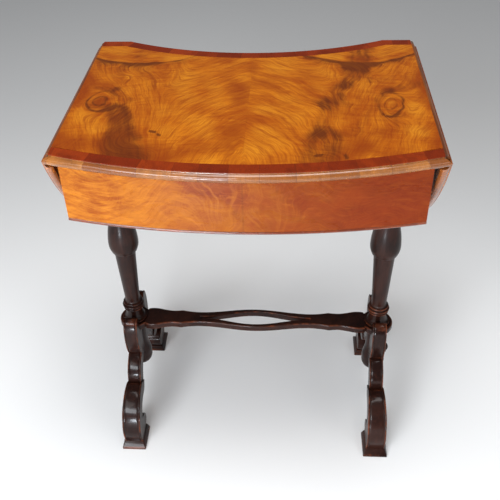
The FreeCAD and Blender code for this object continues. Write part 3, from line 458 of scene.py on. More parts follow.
LEAF_ARC = (0.023, 0.700, 0.170)            # centre y, z and radius that the hanging leaf's edge goes round
crossband = finish_of("Crossbanded walnut", paint_edging((0.28, 0.034, 0.004), (0.18, 0.018, 0.003), 0.5),
                      0.26, coat=0.05, coat_rough=0.12, specular=0.16)
moulding = finish_of("Cross-grained moulding",
                     paint_edging((0.40, 0.150, 0.034), (0.23, 0.068, 0.014), 0.6),
                     0.24, coat=0.5, coat_rough=0.08, specular=0.35)
leaf_edging = finish_of("Leaf moulding",
                        paint_edging((0.42, 0.130, 0.022), (0.27, 0.066, 0.010), 0.6, LEAF_ARC),
                        0.24, coat=0.6, coat_rough=0.1)


# %% Frieze veneer
def paint_frieze(g):
    """Flame figure that meets on the middle line, honey at one end and red at the other."""
    xyz = g.split()
    fine = g.use(fine_figure, Vector=g.join(xyz[0], xyz[2], 0.0), Grain_Angle=g.attribute("lie"))
    waver = g.noise(g.place((24, 24, 34)), 4.0, 0.6, 0.8)
    rings = g.add(g.attribute("rings"), g.mul(waver, 0.22))
    streak = along_lines(g, rings, 1.9, 16.0)
    hair = along_lines(g, rings, 8.0, 40.0, 3.0)
    ripple = g.noise(g.join(g.mul(xyz[0], 34.0), g.mul(waver, 5.0), g.mul(xyz[2], 170.0)), 4.0, 0.62, 0.8)
    cloud = g.noise(g.place((14, 14, 26)), 5.0, 0.62, 0.9)
    end = g.fit(g.add(xyz[0], g.mul(g.sub(waver, 0.5), 0.16)), -0.29, 0.23)
    glow = g.mix(end, (0.55, 0.190, 0.016), (0.25, 0.045, 0.004))
    colour = g.layers(
        g.mix(end, (0.49, 0.152, 0.011), (0.13, 0.011, 0.001)),
        (g.fit(cloud, 0.44, 0.66), 0.68, (0.22, 0.030, 0.003)),
        (g.attribute("red"), 0.90, (0.15, 0.013, 0.003)),
        (g.fit(streak, 0.46, 0.70), 0.42, RUST),
        (g.fit(hair, 0.44, 0.66), 0.42, RUST),
        (g.fit(ripple, 0.48, 0.72), 0.55, RUST),
        (g.fit(streak, 0.52, 0.30), 0.50, glow),
        (g.fit(ripple, 0.48, 0.28), 0.50, glow),
        (fine["Curl"], 0.25, glow),
        (g.attribute("dark"), 0.85, UMBER),
        (fine["Pores"], 0.30, UMBER))
    height = g.add(waver, g.mul(fine["Pores"], -0.15))
    return colour, g.fit(cloud, 0.3, 0.7, 0.24, 0.36), g.bump(height, 0.0004, 0.45)


frieze_veneer = finish_of("Flame walnut veneer", paint_frieze, 0.3, 0.04, 0.16, specular=0.11)


# %% Plainer walnut of the leaves, drawer front and side rails
LEAF_MIDDLE = 0.025                         # y of the leaf's widest place, in metres


def paint_plain(grain, across, tones, mirror=False):
    """Growth lines about a far centre; grain and across are the axes of the board, 0 to 2."""
    def paint(g):
        xyz = g.split()
        a, b = xyz[grain], xyz[across]
        if mirror:
            b = g.maths("ABSOLUTE", g.sub(b, LEAF_MIDDLE))
        flat = g.join(a, b, 0.0)
        fine = g.use(fine_figure, Vector=flat, Grain_Angle=0.0)
        waver = g.noise(g.place(7, source=flat), 4.0, 0.55, 0.6)
        bend = g.add(g.mul(b, 46.0), g.mul(g.mul(a, a), 150.0))
        line = g.maths("SINE", g.mul(g.add(bend, g.mul(waver, 9.0)), 6.2832))
        pale, mid, deep = tones
        colour = g.layers(
            g.mix(g.fit(waver, 0.32, 0.68), pale, mid),
            (g.fit(line, 0.1, 0.95), 0.38, deep),
            (fine["Streaks"], 0.34, deep),
            (fine["Curl"], 0.16, pale),
            (fine["Pores"], 0.45, UMBER))
        height = g.add(g.mul(waver, 0.8), g.mul(fine["Pores"], -0.2))
        return colour, g.fit(waver, 0.3, 0.7, 0.26, 0.40), g.bump(height, 0.0004, 0.5)
    return paint


WARM_TONES = ((0.27, 0.066, 0.007), (0.19, 0.038, 0.005), (0.07, 0.014, 0.004))
RAIL_TONES = ((0.20, 0.055, 0.013), (0.15, 0.037, 0.010), (0.07, 0.018, 0.007))
SIDE_TONES = ((0.24, 0.070, 0.016), (0.17, 0.045, 0.011), (0.07, 0.018, 0.007))
leaf_walnut = finish_of("Leaf walnut", paint_plain(2, 1, WARM_TONES, mirror=True), 0.3, 0.3, 0.18)
drawer_walnut = finish_of("Drawer front walnut", paint_plain(0, 2, WARM_TONES), 0.3, 0.25, 0.18)
rail_walnut = finish_of("Rail walnut", paint_plain(0, 2, RAIL_TONES), 0.3, 0.25, 0.18)
side_walnut = finish_of("Fly rail walnut", paint_plain(1, 2, SIDE_TONES), 0.35, 0.15, 0.2)
bead_walnut = finish_of("Red bead", paint_edging((0.24, 0.050, 0.014), (0.14, 0.026, 0.010), 0.4),
                        0.3, 0.4, 0.15)

# %% [markdown]
# The underframe is walnut stained almost black and polished. Where it is rubbed, the stain is gone
# and the wood glows orange-red; in the hollows old wax is dull and a little grey. The pieces carry a
# relief value for that. Even black polish isn't even: it has brown islands, so noise mixes them in.

# %% Dark stained walnut
def paint_dark(relief=True):
    """Nearly black stain with brown islands, rubbed red where it is proud and waxed grey where sunk."""
    def paint(g):
        value = g.attribute("relief") if relief else 0.0
        worn = g.use(rubbed, Relief=value, Vector=g.place())
        grain = g.noise(g.place((190, 190, 16)), 4.0, 0.6, 0.4)
        islands = g.fit(worn["Smear"], 0.38, 0.66)
        colour = g.layers(
            g.mix(islands, (0.0125, 0.0044, 0.0032), (0.030, 0.0100, 0.0066)),
            (g.fit(grain, 0.45, 0.75), 0.40, (0.050, 0.015, 0.009)),
            (worn["Rubbed"], 0.50, (0.24, 0.058, 0.020)),
            (worn["Filled"], 0.45, (0.075, 0.062, 0.055)))
        rough = g.add(g.fit(worn["Smear"], 0.3, 0.7, 0.28, 0.42), g.mul(worn["Filled"], 0.25))
        height = g.add(g.mul(grain, 0.5), g.noise(g.place(60), 2.0))
        return colour, rough, g.bump(height, 0.0003, 0.35)
    return paint


dark_walnut = finish_of("Dark stained walnut", paint_dark(), 0.32, 0.24, 0.13, specular=0.07)
dark_board = finish_of("Dark stained board", paint_dark(relief=False), 0.34, 0.2, 0.2, specular=0.36)


# %% Secondary woods and metals
def paint_bare(grain, pale, deep):
    """Bare softwood: straight growth lines along one axis, browned by age."""
    def paint(g):
        stretch = tuple(3.5 if axis == grain else 120.0 for axis in range(3))
        lines = g.noise(g.place(stretch), 3.0, 0.55, 0.5)
        age = g.noise(g.place(9), 4.0, 0.6)
        aged = tuple(v * 0.5 for v in deep)
        colour = g.layers(g.mix(g.fit(lines, 0.38, 0.66), pale, deep), (g.fit(age, 0.4, 0.72), 0.5, aged))
        return colour, g.fit(age, 0.3, 0.7, 0.62, 0.8), g.bump(lines, 0.0003, 0.6)
    return paint


def paint_metal(pale, deep):
    """Old metal: bright where it is touched, browned in patches, with fine scratches."""
    def paint(g):
        patch = g.noise(g.place(160), 4.0, 0.6)
        scratch = g.noise(g.place((3000, 200, 900)), 2.0)
        rough = g.add(g.fit(patch, 0.3, 0.7, 0.28, 0.5), g.mul(scratch, 0.08))
        return g.mix(g.fit(patch, 0.38, 0.68), pale, deep), rough, g.bump(scratch, 0.00005, 0.4)
    return paint


PINE = ((0.50, 0.285, 0.125), (0.33, 0.155, 0.055))
pine = [finish_of("Pine along " + "xy"[axis], paint_bare(axis, *PINE), 0.7) for axis in (0, 1)]
beech = finish_of("Beech", paint_bare(1, (0.30, 0.145, 0.062), (0.20, 0.085, 0.035)), 0.6)
brass = finish_of("Old brass", paint_metal((0.70, 0.47, 0.17), (0.33, 0.19, 0.07)), 0.35, metal=1.0)
steel = finish_of("Old steel", paint_metal((0.40, 0.38, 0.36), (0.16, 0.12, 0.10)), 0.4, metal=1.0)


LIP = 0.259                                 # x where the walnut lipping begins, in metres


def paint_ground(g):
    """The top's ground is pine below, with a walnut lipping along the hinge sides."""
    xyz = g.split()
    lip = g.fit(g.maths("ABSOLUTE", xyz[0]), LIP - 0.0002, LIP + 0.0002)
    pine_lines = g.noise(g.place((3.5, 120, 120)), 3.0, 0.55, 0.5)
    walnut_lines = g.noise(g.place((160, 7, 160)), 4.0, 0.6, 0.4)
    under = g.mix(g.fit(pine_lines, 0.38, 0.66), *PINE)
    lipping = g.mix(g.fit(walnut_lines, 0.35, 0.68), (0.26, 0.075, 0.014), (0.10, 0.026, 0.009))
    return g.mix(lip, under, lipping), g.fit(lip, 0.0, 1.0, 0.7, 0.28), g.bump(pine_lines, 0.0003, 0.3)


ground_wood = finish_of("Ground and lipping", paint_ground, 0.5)
print("materials", len(bpy.data.materials))

# %% Finishes of the solids that stay
def dress(node, material):
    """Gives a solid its finish; its shape and place stay as designed."""
    slots = nodes[node].data.materials
    slots.clear()
    slots.append(material)


by_slot = {
    "leaf_walnut": leaf_walnut, "frieze_walnut": drawer_walnut, "moulding_walnut": moulding,
    "bead_mahogany": bead_walnut, "crossband_walnut": crossband, "figured_walnut": top_veneer,
    "dark_stained_walnut": dark_board, "turned_walnut_knobs": dark_board, "beech_secondary": beech,
    "pine_secondary": pine[1], "ground_pine": ground_wood, "brass_fittings": brass, "lock_brass": brass,
    "steel_fixings": steel}
by_node = {
    "drawer_back": pine[0], "case_bottom": pine[0], "drawer_bottom": pine[0],
    "drawer_rail_upper": rail_walnut, "drawer_rail_lower": rail_walnut,
    "fly_rail_left": side_walnut, "fly_rail_right": side_walnut,
    "fly_bracket_left": side_walnut, "fly_bracket_right": side_walnut,
    "leaf_moulding_left": leaf_edging, "leaf_moulding_right": leaf_edging}
for node, slot in slot_of.items():
    dress(node, by_node.get(node, by_slot[slot]))
print("dressed", len(slot_of))

# %% [markdown]
# ## The top: two matched veneers
# A cabinet maker saws two leaves from one block and opens them like a book, so one half mirrors the
# other. Knots, growth lines and stains are written as functions of the distance from the middle
# line, with a few of each half's own. A grid of points holds them, 2 mm apart, and the finish
# draws the lines between. Painting them by hand would work too, but wouldn't mirror itself.

# %% Sizes of the top, measured on the solids
low_front, high_front = box_mm("top_crossband_front")
HINGE = high_front[0]                       # half the width between the hinge lines
SURFACE = high_front[2]
VENEER = high_front[2] - low_front[2]
FRONT = -low_front[1]                       # the bow's arris in the middle
REAR = box_mm("top_crossband_rear")[1][1]   # the arris of the straight corners
BAND = 22.0
BOW_R = 900.0
HOLLOW_HALF, HOLLOW_IN = 235.0, 54.5
bow_y = BOW_R - FRONT
hollow_r = (HOLLOW_HALF ** 2 + HOLLOW_IN ** 2) / (2 * HOLLOW_IN)
hollow_y = REAR - HOLLOW_IN + hollow_r
print("half width", round(HINGE, 2), "front", round(FRONT, 2), "rear", round(REAR, 2))


# %% The figure of the wood
def near(x, y, a, b, r0, r1):
    """1 inside a soft capsule from a to b whose radius goes from r0 to r1, 0 outside it."""
    a, b = np.array(a, float), np.array(b, float)
    d = b - a
    t = np.clip(((x - a[0]) * d[0] + (y - a[1]) * d[1]) / (d @ d), 0, 1)
    gap = np.hypot(x - a[0] - t * d[0], y - a[1] - t * d[1]) / (r0 + (r1 - r0) * t)
    return np.clip(1.5 - gap, 0, 1) ** 1.3


def step(value, width):
    """0 to 1 across the given width, centred on 0."""
    return 1 / (1 + np.exp(-np.clip(value / width * 4, -30, 30)))


# each patch (stains, knots, golden and smoky places): half (-1 left, 1 right, 0 both), from x, y, to x, y, both
# radii in mm, how dark it is and how red (below 0: golden)
STAINS_AND_PATCHES = np.array([
    (-1, -212, -42, -172, -188, 17, 36, 0.62, 0.55), (-1, -205, -30, -160, -130, 7, 9, 0.25, 0.1),
    (-1, -234, -8, -238, -28, 14, 14, 0.30, 0.85), (-1, -262, 38, -222, 30, 7, 9, 0.34, 0.2),
    # the second entry below darkens a smoky upright patch near the left rear corner
    (-1, -222, 30, -200, -16, 9, 9, 0.30, 0.3), (-1, -208, 150, -206, 184, 17, 17, 0.26, 0.15),
    (-1, -286, 60, -286, -10, 22, 24, 0.12, 0.75), (-1, -276, -150, -120, -182, 34, 26, 0.10, 0.85),
    (-1, -183, 96, -168, 30, 12, 16, 0.22, 0.1), (-1, -228, 104, -214, 58, 10, 12, 0.20, 0.2),
    (-1, -207, 76, -206, 68, 7, 7, -0.2, -0.7), (-1, -268, -60, -232, -100, 20, 24, -0.1, -0.6),
    (-1, -150, 150, -112, 162, 15, 12, -0.3, -0.9), (-1, -270, 186, -246, 178, 16, 18, -0.2, -0.6),
    (-1, -100, 60, -80, -80, 44, 44, -0.05, -0.35), (-1, -40, 44, -16, 6, 26, 22, 0.05, 0.6),
    (-1, -34, -70, -12, -150, 24, 20, 0.02, 0.55), (-1, -143, -109, -138, -113, 4.0, 4.6, 0.95, 0),
    (-1, -132, -121, -129, -125, 2.8, 3.4, 0.9, 0), (1, 196, 196, 184, 112, 24, 23, 0.46, 0.45),
    (1, 172, 116, 208, 116, 14, 12, 0.50, 0.1), (1, 180, 100, 160, 44, 19, 17, 0.46, 0.35),
    (1, 160, 44, 122, -24, 15, 22, 0.34, 0.2), (1, 122, -24, 116, -120, 25, 22, 0.34, 0.25),
    (1, 116, -130, 112, -196, 27, 38, 0.46, 0.5), (1, 150, 8, 158, -30, 8, 9, 0.28, 0.2),
    (1, 192, 92, 204, 52, 7, 8, 0.30, 0.2), (1, 276, 52, 232, 24, 15, 13, 0.36, 0.45),
    (1, 226, 24, 202, -14, 9, 8, 0.32, 0.3), (1, 204, -30, 156, -118, 9, 14, 0.22, 0.35),
    (1, 243, -58, 232, -108, 13, 12, 0.24, 0.25), (1, 196, -120, 150, -176, 22, 26, 0.08, 0.7),
    (1, 227, -22, 227, -30, 7, 7, -0.1, -0.5), (1, 268, -30, 262, -110, 14, 18, -0.1, -0.6),
    (1, 118, 158, 152, 150, 12, 12, -0.3, -0.9), (1, 236, 178, 268, 186, 16, 16, -0.1, -0.5),
    (1, 60, -60, 30, -150, 34, 30, -0.05, -0.45), (1, 40, 130, 120, 110, 30, 26, 0, -0.3),
    (1, 6, 66, 62, 16, 7, 8, 0.16, 0.35), (1, 2, -114, 3, -118, 2, 2, 0.9, 0),
    (1, 150, -184, 152, -188, 3.2, 3.2, 0.7, 0), (1, 106, -183, 112, -183, 2.6, 2.6, 0.6, 0),
    (0, 0, 150, 0, 60, 8, 8, 0, 0.25)])


def top_figure(x, y):
    """Phase of the growth lines, stain, redness and lie of the grain on the top; x and y in mm.

    lines = distance from a centre low in the other half near the middle, steep lines further out,
    heaps round the two knots, and the arc's own offset behind it; stains are soft capsules."""
    left = x < 0
    wx = x + 4 * drift(x, y, 130, 1) + 0.9 * drift(x, y, 36, 2)
    wy = y + 4 * drift(x, y, 140, 3) + 0.9 * drift(x, y, 40, 4)
    u = np.abs(wx)
    fan = np.hypot(u + 92, 0.82 * (wy + 260))
    steep = u - 0.36 * wy + 176
    outer = step(u - 136, 40)
    lines = fan * (1 - outer) + steep * outer
    left_knot = np.hypot((u - 236) / 0.78, (wy + 14) / 1.3)
    knot = np.where(left, left_knot, np.hypot((u - 227) / 0.72, (wy + 26) / 1.35))
    lines = lines + 74 * np.exp(-(knot / 34) ** 2) + 22 * np.exp(-(np.hypot(u - 207, wy - 70) / 16) ** 2)
    arc = np.where(left, 122, 124) + 0.0043 * (u - np.where(left, 205, 186)) ** 2
    offset = wy - arc
    behind = step(offset + 3, 9)
    lines = lines * (1 - behind) + behind * (380 + 1.2 * offset)
    strength = np.clip(1.75 - np.abs(u - 190) / 92, 0, 1) * (0.9 + 0.25 * drift(wx, wy, 50, 17))
    fading = 0.6 * np.exp(offset / 16) + 0.4 * np.exp(offset / 3)
    dark = 1.35 * strength * np.where(offset > 0, np.exp(-(offset / 4.5) ** 2), fading)
    turn = np.arctan2(wy + 20, u - 230)
    dark += 0.85 * np.exp(-((knot - 29) / 3.6) ** 2) * np.clip(0.75 + 0.5 * np.sin(turn + 2.2), 0, 1)
    dark += 0.50 * np.exp(-((knot - 14) / 2.2) ** 2) + 0.25 * np.exp(-((knot - 21) / 1.6) ** 2)
    spikes = drift(wx, wy * 0.15 + 0.4 * wx, 13, 9)
    red = 0.30 * drift(x, y, 80, 6) + 0.9 * step(np.abs(x) - 276, 14) * step(120 - y, 60)
    for half, x0, y0, x1, y1, r0, r1, how_dark, how_red in STAINS_AND_PATCHES:
        here = near(wx if half else x, wy, (x0, y0), (x1, y1), r0, r1)
        here = here * ((np.sign(x) == half) | (half == 0))
        dark = dark + how_dark * here * (1 + 0.24 * spikes * (half == 1))
        red = red + how_red * here
    lie = np.where(left, 1, -1) * (0.9 - 0.35 * outer) + 0.35 * drift(x, y, 150, 8)
    return lines / 11.0, np.clip(dark, -0.3, 1), np.clip(red, -1, 1), lie


# %% The two sheets of veneer
FIGURE = ("rings", "dark", "red", "lie")


def veneer_sheet(name, x0, x1, columns=150, rows=226):
    """A flat sheet from the front band to the rear band: rows run from front to back at even shares."""
    x = np.linspace(x0, x1, columns)[:, None]
    front = bow_y - np.sqrt((BOW_R - BAND) ** 2 - x ** 2)
    rear = np.minimum(hollow_y - np.sqrt((hollow_r + BAND) ** 2 - x ** 2), REAR - BAND)
    t = np.linspace(0, 1, rows)[None, :]
    y = front + (rear - front) * t
    sheet = np.stack([x + 0 * t, y, np.full_like(y, SURFACE)], -1)
    under = sheet[:, [-1, 0]] - np.array([0, 0, VENEER])
    grid = np.concatenate([sheet, under], 1)
    fields = dict(zip(FIGURE, top_figure(grid[..., 0], grid[..., 1])))
    piece(name, grid * MM, top_veneer, "top_" + name, fields)


HALF_JOINT = 0.03                           # half the glue line between the two sheets
veneer_sheet("veneer_left", -HINGE, -HALF_JOINT)
veneer_sheet("veneer_right", HALF_JOINT, HINGE)

# %% [markdown]
# ## Edges carried along a line
# Bands, mouldings, bead and frieze are one idea: a section drawn once and carried along the edge.
# Each point of the section keeps its distance outside the line, so curves and mitres stay parallel.
# A curve object with a bevel would do for a plain cord of wood, but here each point must also stop
# at the rule joint's own depth, and every point needs its distance along the edge for the grain.

# %% Carry a section along an edge
def carried(name, section, edge, ends, material, node, figure=None):
    """point(i, j) = line(i) + out(j) * outward(i), at height up(j), with x drawn out to the ends.

    section is (out, up) pairs in a loop, edge is the line with its outward directions, and ends is how
    far the piece goes from the middle: a number or a function of the height. Run and girth are fields."""
    section = np.array(section, float)
    out, up = section.T
    line, outward = edge
    xy = line[:, None, :] + out[:, None] * outward[:, None, :]
    reach = ends(up) if callable(ends) else ends
    near_end = (np.abs(line[:, 0]) / np.abs(line[-1, 0]))[:, None] ** 8
    x = xy[..., 0] * (1 + (reach / np.abs(xy[-1, :, 0]) - 1) * near_end)
    z = np.broadcast_to(up, x.shape)
    run = np.concatenate([[0], np.cumsum(np.hypot(*np.diff(line, axis=0).T))])
    girth = np.concatenate([[0], np.cumsum(np.hypot(*np.diff(section, axis=0).T))])
    fields = {"run": np.broadcast_to(run[:, None] * MM, x.shape),
              "across": np.broadcast_to(girth * MM, x.shape)}
    if figure:
        fields.update(zip(FIGURE, figure(x, z)))
    piece(name, np.stack([x, xy[..., 1], z], -1) * MM, material, node, fields, sharp=23.0)


def bow(radius, centre_y, half, n=121):
    """Line and outward direction of an arc that bulges to -Y."""
    a = np.linspace(-1, 1, n) * math.asin(half / radius)
    away = np.stack([np.sin(a), -np.cos(a)], -1)
    return np.array([0, centre_y]) + radius * away, away


def rear_edge(n=81):
    """Line and outward direction of the rear: straight, hollow, straight, mitred where they meet."""
    turn = math.asin(HOLLOW_HALF / hollow_r)
    a = np.linspace(-1, 1, n) * turn
    arc = np.stack([np.sin(a) * hollow_r, hollow_y - np.cos(a) * hollow_r], -1)
    arc[-1], arc[0] = (HOLLOW_HALF, REAR), (-HOLLOW_HALF, REAR)
    way = np.stack([-np.sin(a), np.cos(a)], -1)
    mitre = np.array([-math.sin(turn / 2), math.cos(turn / 2)]) / math.cos(turn / 2)
    way[-1], way[0] = mitre, mitre * [-1, 1]
    side = np.linspace(HOLLOW_HALF + 7, HINGE, 12)
    right = np.stack([side, np.full_like(side, REAR)], -1)
    ahead = np.tile([0.0, 1.0], (len(side), 1))
    return np.vstack([right[::-1] * [-1, 1], arc, right]), np.vstack([ahead, way, ahead])


AXIS_Z = frame["joints"][0]["pos_m"][2] / MM
OVOLO = 9.0
PLAY = 0.6                                  # mm between the fixed top and the leaf's moulding


def joint_reach(up):
    """How far the fixed top goes from the middle at a height: the quirk, then the ovolo, less the play."""
    below = np.clip(OVOLO ** 2 - (up - AXIS_Z) ** 2, 0, None)
    return np.where(up > AXIS_Z + OVOLO - 0.01, HINGE, HINGE + np.sqrt(below)) - PLAY


# %% Moulding and crossband
nose_low, nose_high = box_mm("top_moulding_front")
STEP_Z = SURFACE - 3.0
nose = np.vstack([
    [[-8.0, nose_high[2]], [-0.3, nose_high[2]], [0.0, nose_high[2] - 0.3]],
    cut((0, STEP_Z + 0.5), (0.15, STEP_Z + 0.12), (0.6, STEP_Z), 4),
    [[1.5, STEP_Z]],
    cut((1.8, STEP_Z - 0.2), (6.0, (STEP_Z + nose_low[2]) / 2 + 1.0), (2.5, nose_low[2] + 0.2), 22),
    [[2.2, nose_low[2]], [-8.0, nose_low[2]]],
])
nose[:, 0] = np.minimum(nose[:, 0], -nose_low[1] - FRONT)
band_low = SURFACE - VENEER
strip = [[-BAND, band_low], [-BAND, SURFACE], [-0.35, SURFACE], [0, SURFACE - 0.35], [0, band_low]]
edges = {"front": bow(BOW_R, bow_y, HINGE), "rear": rear_edge()}
for where, edge in edges.items():
    carried("moulding_" + where, nose, edge, joint_reach, moulding, "top_moulding_" + where)
for where, edge in edges.items():
    carried("band_" + where, strip, edge, HINGE, crossband, "top_crossband_" + where)

# %% [markdown]
# ## The bowed frieze and its bead
# The frieze is veneered upright over a shaped core. Its figure is two flames that lean to the middle
# joint, so the growth lines here are a fan about a point below it, on each side.

# %% Sizes of the case
case_low, case_high = box_mm("front_frieze")
CASE, CASE_BOW = case_high[0], case_low[1]
CORNER_Y = -188.0
sag = CORNER_Y - CASE_BOW
case_r = (CASE ** 2 + sag ** 2) / (2 * sag)
case_y = CASE_BOW + case_r
BEAD = 5.0
FRIEZE_THICK = 18.0
print("case radius", round(case_r, 1))


# %% The frieze's figure
def frieze_figure(x, up):
    """Flame figure: a fan of lines about a point under the middle, warped; redder near the top middle."""
    z = up - case_low[2]
    wx = x + 5 * drift(x, z * 1.3, 100, 11) + 0.8 * drift(x, z, 24, 12)
    wz = z + 3.5 * drift(x, z, 80, 13)
    rays = np.minimum(np.hypot(wx + 52, wz + 26), np.hypot(wx - 74, wz + 26))
    fan = np.arctan2(np.where(wx < 10, wx + 52, 74 - wx), wz + 26) * 7 + rays * 0.035
    calm = np.sin(wx / 46.0) * 1.4 + wz * 0.085
    blend = step(np.abs(wx) - 118, 60)
    lines = fan * (1 - blend) + calm * blend
    red = 0.16 * drift(x, z, 70, 14)
    for share, *place in ((0.95, (-70, 92), (-8, 72), 24, 22), (0.60, (58, 92), (82, 56), 18, 16),
                          (0.50, (150, 32), (262, 20), 22, 26), (0.35, (196, 62), (240, 50), 12, 18),
                          (0.25, (-230, 10), (-180, 38), 10, 14)):
        red += share * near(wx, wz, *place)
    dark = 0.50 * np.exp(-(np.abs(x - 0.4) / 0.7) ** 2) + 0.20 * near(wx, wz, (-5, 42), (2, 30), 5, 4)
    dark += 0.18 * near(wx, wz, (-238, 86), (-216, 90), 7, 6)
    lie = np.where(x < 10, 0.9, -0.9) * (1 - blend) + 0.25 * drift(x, z, 120, 15)
    return lines, np.clip(dark, 0, 1), np.clip(red, 0, 1), lie


# %% Frieze and bead carried along the bow
bottom, top = case_low[2], case_high[2]
levels = np.linspace(bottom + BEAD, top, 44)
core = [[-FRIEZE_THICK, top], [-FRIEZE_THICK, bottom], [-6.0, bottom], [-6.0, bottom + BEAD]]
frieze_section = np.vstack([np.stack([0 * levels, levels], -1), core])
bead_section = np.vstack([cut((-0.05, bottom + BEAD), (1.45, bottom + BEAD / 2), (-0.05, bottom), 12),
                          [[-5.9, bottom], [-5.9, bottom + BEAD]]])
case_edge = bow(case_r, case_y, CASE, 241)
carried("frieze_front", frieze_section, case_edge, CASE, frieze_veneer, "front_frieze", frieze_figure)
carried("bead_front", bead_section, case_edge, CASE, bead_walnut, "front_bead")

# %% [markdown]
# ## Turned work
# Columns, drops, button and knobs come off a lathe: a profile swung round an axis. The relief value
# is how far the surface stands out beyond its own running mean, so beads show as proud and
# grooves as sunk, and the shared wear group knows where cloths and hands have rubbed.

# %% Swing a profile round an axis
def raised(height, *parts):
    """The parts of a profile end to end, (radius, height) pairs lifted by the given height."""
    return np.vstack(parts) + [0, height]


def turned(name, profile, node, centre, axis=(0, 0, 1), sides=72, fine=0.7, body="table"):
    """point(i, j) = centre + r(i) (cos t(j) e1 + sin t(j) e2) + h(i) axis, with t right round."""
    profile = spread(profile, int(np.hypot(*np.diff(profile, axis=0).T).sum() / fine))
    r, h = np.maximum(profile[:, 0], 0.4), profile[:, 1]
    axis = np.array(axis, float) / np.linalg.norm(axis)
    e1 = np.cross(axis, [0, 0, 1]) if abs(axis[2]) < 0.9 else np.array([1.0, 0, 0])
    e1 /= np.linalg.norm(e1)
    e2 = np.cross(axis, e1)
    t = np.linspace(0, 2 * np.pi, sides, endpoint=False)
    ring = np.cos(t)[:, None] * e1 + np.sin(t)[:, None] * e2
    grid = np.array(centre, float) + r[:, None, None] * ring[None] + h[:, None, None] * axis
    relief = np.clip((r - smooth(r, int(4.0 / fine))) / 1.1, -1, 1)
    fields = {"relief": np.broadcast_to(relief[:, None], grid.shape[:2])}
    return piece(name, grid * MM, dark_walnut, node, fields, 48.0, body)


# %% Columns, posts and buttons
column_low, column_high = box_mm("column_right")
stretcher_low, stretcher_high = box_mm("stretcher")
button_low, button_high = box_mm("post_button_right")
PEDESTAL = (column_low[0] + column_high[0]) / 2
COLLAR = box_mm("bearer_right")[0][2]       # underside of the bearer
SEAT = stretcher_high[2]                    # top of the stretcher
UNDER = stretcher_low[2]
POST = 18.0
BUTTON_LONG = 9.0
bulb = SEAT + 196
neck_line = [(17.5, COLLAR - 27 - bulb), (16.9, 102), (18.6, 74), (22.4, 47), (26.2, 26), (28.3, 7),
             (28.1, -7), (25.2, -17)]
column_profile = np.vstack([
    raised(COLLAR, [[0.4, -0.05], [25.2, -0.05], [26.0, -0.8], [26.0, -5]],
           cut((26, -5), (24.5, -9), (22, -11)), cut((22, -11), (18.4, -17), (17.5, -27))),
    raised(bulb, flow(neck_line), cut((25.2, -17), (23.6, -20), (21.3, -20.6), 7),
           [[21.2, -22.2], [20.1, -22.6]]),
    raised(SEAT + 50, [[14.5, 0]], cut((14.5, 0), (15.0, -2.5), (17, -4), 5),
           cut((17.0, -4), (19.4, -6.5), (17.0, -9), 9), [[16.6, -9.3]],
           cut((18.0, -9.6), (21.6, -13), (18.0, -16.8), 11), [[16.9, -17.2]],
           cut((18.0, -17.6), (20.2, -20), (18.0, -23), 9), [[16.5, -23.4], [16.5, -25]]),
    raised(SEAT, cut((16.5, 25), (18.4, 9), (24.5, 4), 10), [[24.5, 0.4], [24.2, 0.05], [0.4, 0.05]]),
])
post_profile = raised(UNDER, [[0.4, -0.05], [23.4, -0.05], [24, -0.8], [24, -6]],
                      cut((24, -6), (POST + 1.5, -8.5), (POST, -14)),
                      flow([(POST, -14), (POST, -52), (20, -66), (23, -79), (23.5, -91)]),
                      cut((23.5, -91), (20.5, -108), (8, -115), 16), [[0.4, -115]])
button_z = (button_low[2] + button_high[2]) / 2
button_profile = np.vstack([[[0.4, -6], [5, -6], [5, 0], [11.4, 0], [12, 0.5]],
                            cut((12, 2.4), (11.6, 3.6), (10.2, 4.0), 5), [[8.6, 3.4]],
                            cut((8.0, 3.6), (6.4, 6.6), (3.2, 8.4), 9),
                            cut((3.2, 8.4), (1.8, 8.9), (0.4, BUTTON_LONG), 4)])
for side, sign in (("left", -1), ("right", 1)):
    turned("column_turned_" + side, column_profile, "column_" + side, (sign * PEDESTAL, 0, 0))
    turned("post_turned_" + side, post_profile, "post_" + side, (sign * PEDESTAL, 0, 0))
    turned("button_turned_" + side, button_profile, "post_button_" + side,
           (sign * (button_high[0] - BUTTON_LONG), 0, button_z), (sign, 0, 0), 48, 0.35)

# %% Drawer knobs
knob_low, knob_high = box_mm("drawer_knobs")
knob_z = (knob_low[2] + knob_high[2]) / 2
KNOB_X, KNOB_LONG = 110.0, 25.0
DRAWER_IN = 9.0                             # how far the drawer front stands inside the top's hollow
front_r = hollow_r + DRAWER_IN
lean = math.asin(KNOB_X / front_r)
knob_profile = np.vstack([[[0.4, -6], [5, -6], [5, 0], [12.4, 0], [12.75, 0.4], [12.75, 1.7]],
                          cut((12.5, 2.1), (7.2, 5.2), (7.6, 11), 14),
                          cut((7.6, 11), (14.4, 15.6), (11.8, 20.6), 18),
                          cut((11.8, 20.6), (7.6, 24.0), (0.4, KNOB_LONG), 12)])
for side, sign in (("left", -1), ("right", 1)):
    base = (sign * KNOB_X, hollow_y - front_r * math.cos(lean), knob_z)
    out = (-sign * math.sin(lean), math.cos(lean), 0)
    knob = turned("knob_" + side, knob_profile, None, base, out, 56, 0.4, "drawer")
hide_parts("drawer_knobs")

# %% [markdown]
# ## Scroll legs
# Each leg is sawn from a plank as an S and its show edge is worked with a bead along both arrises.
# The plank's front line and back line are two curves with matching stations; the section between
# them is a rounded box whose front face carries the beads. Carving it from a block with booleans
# would leave the beads broken at every step, so the section is carried down the curves.

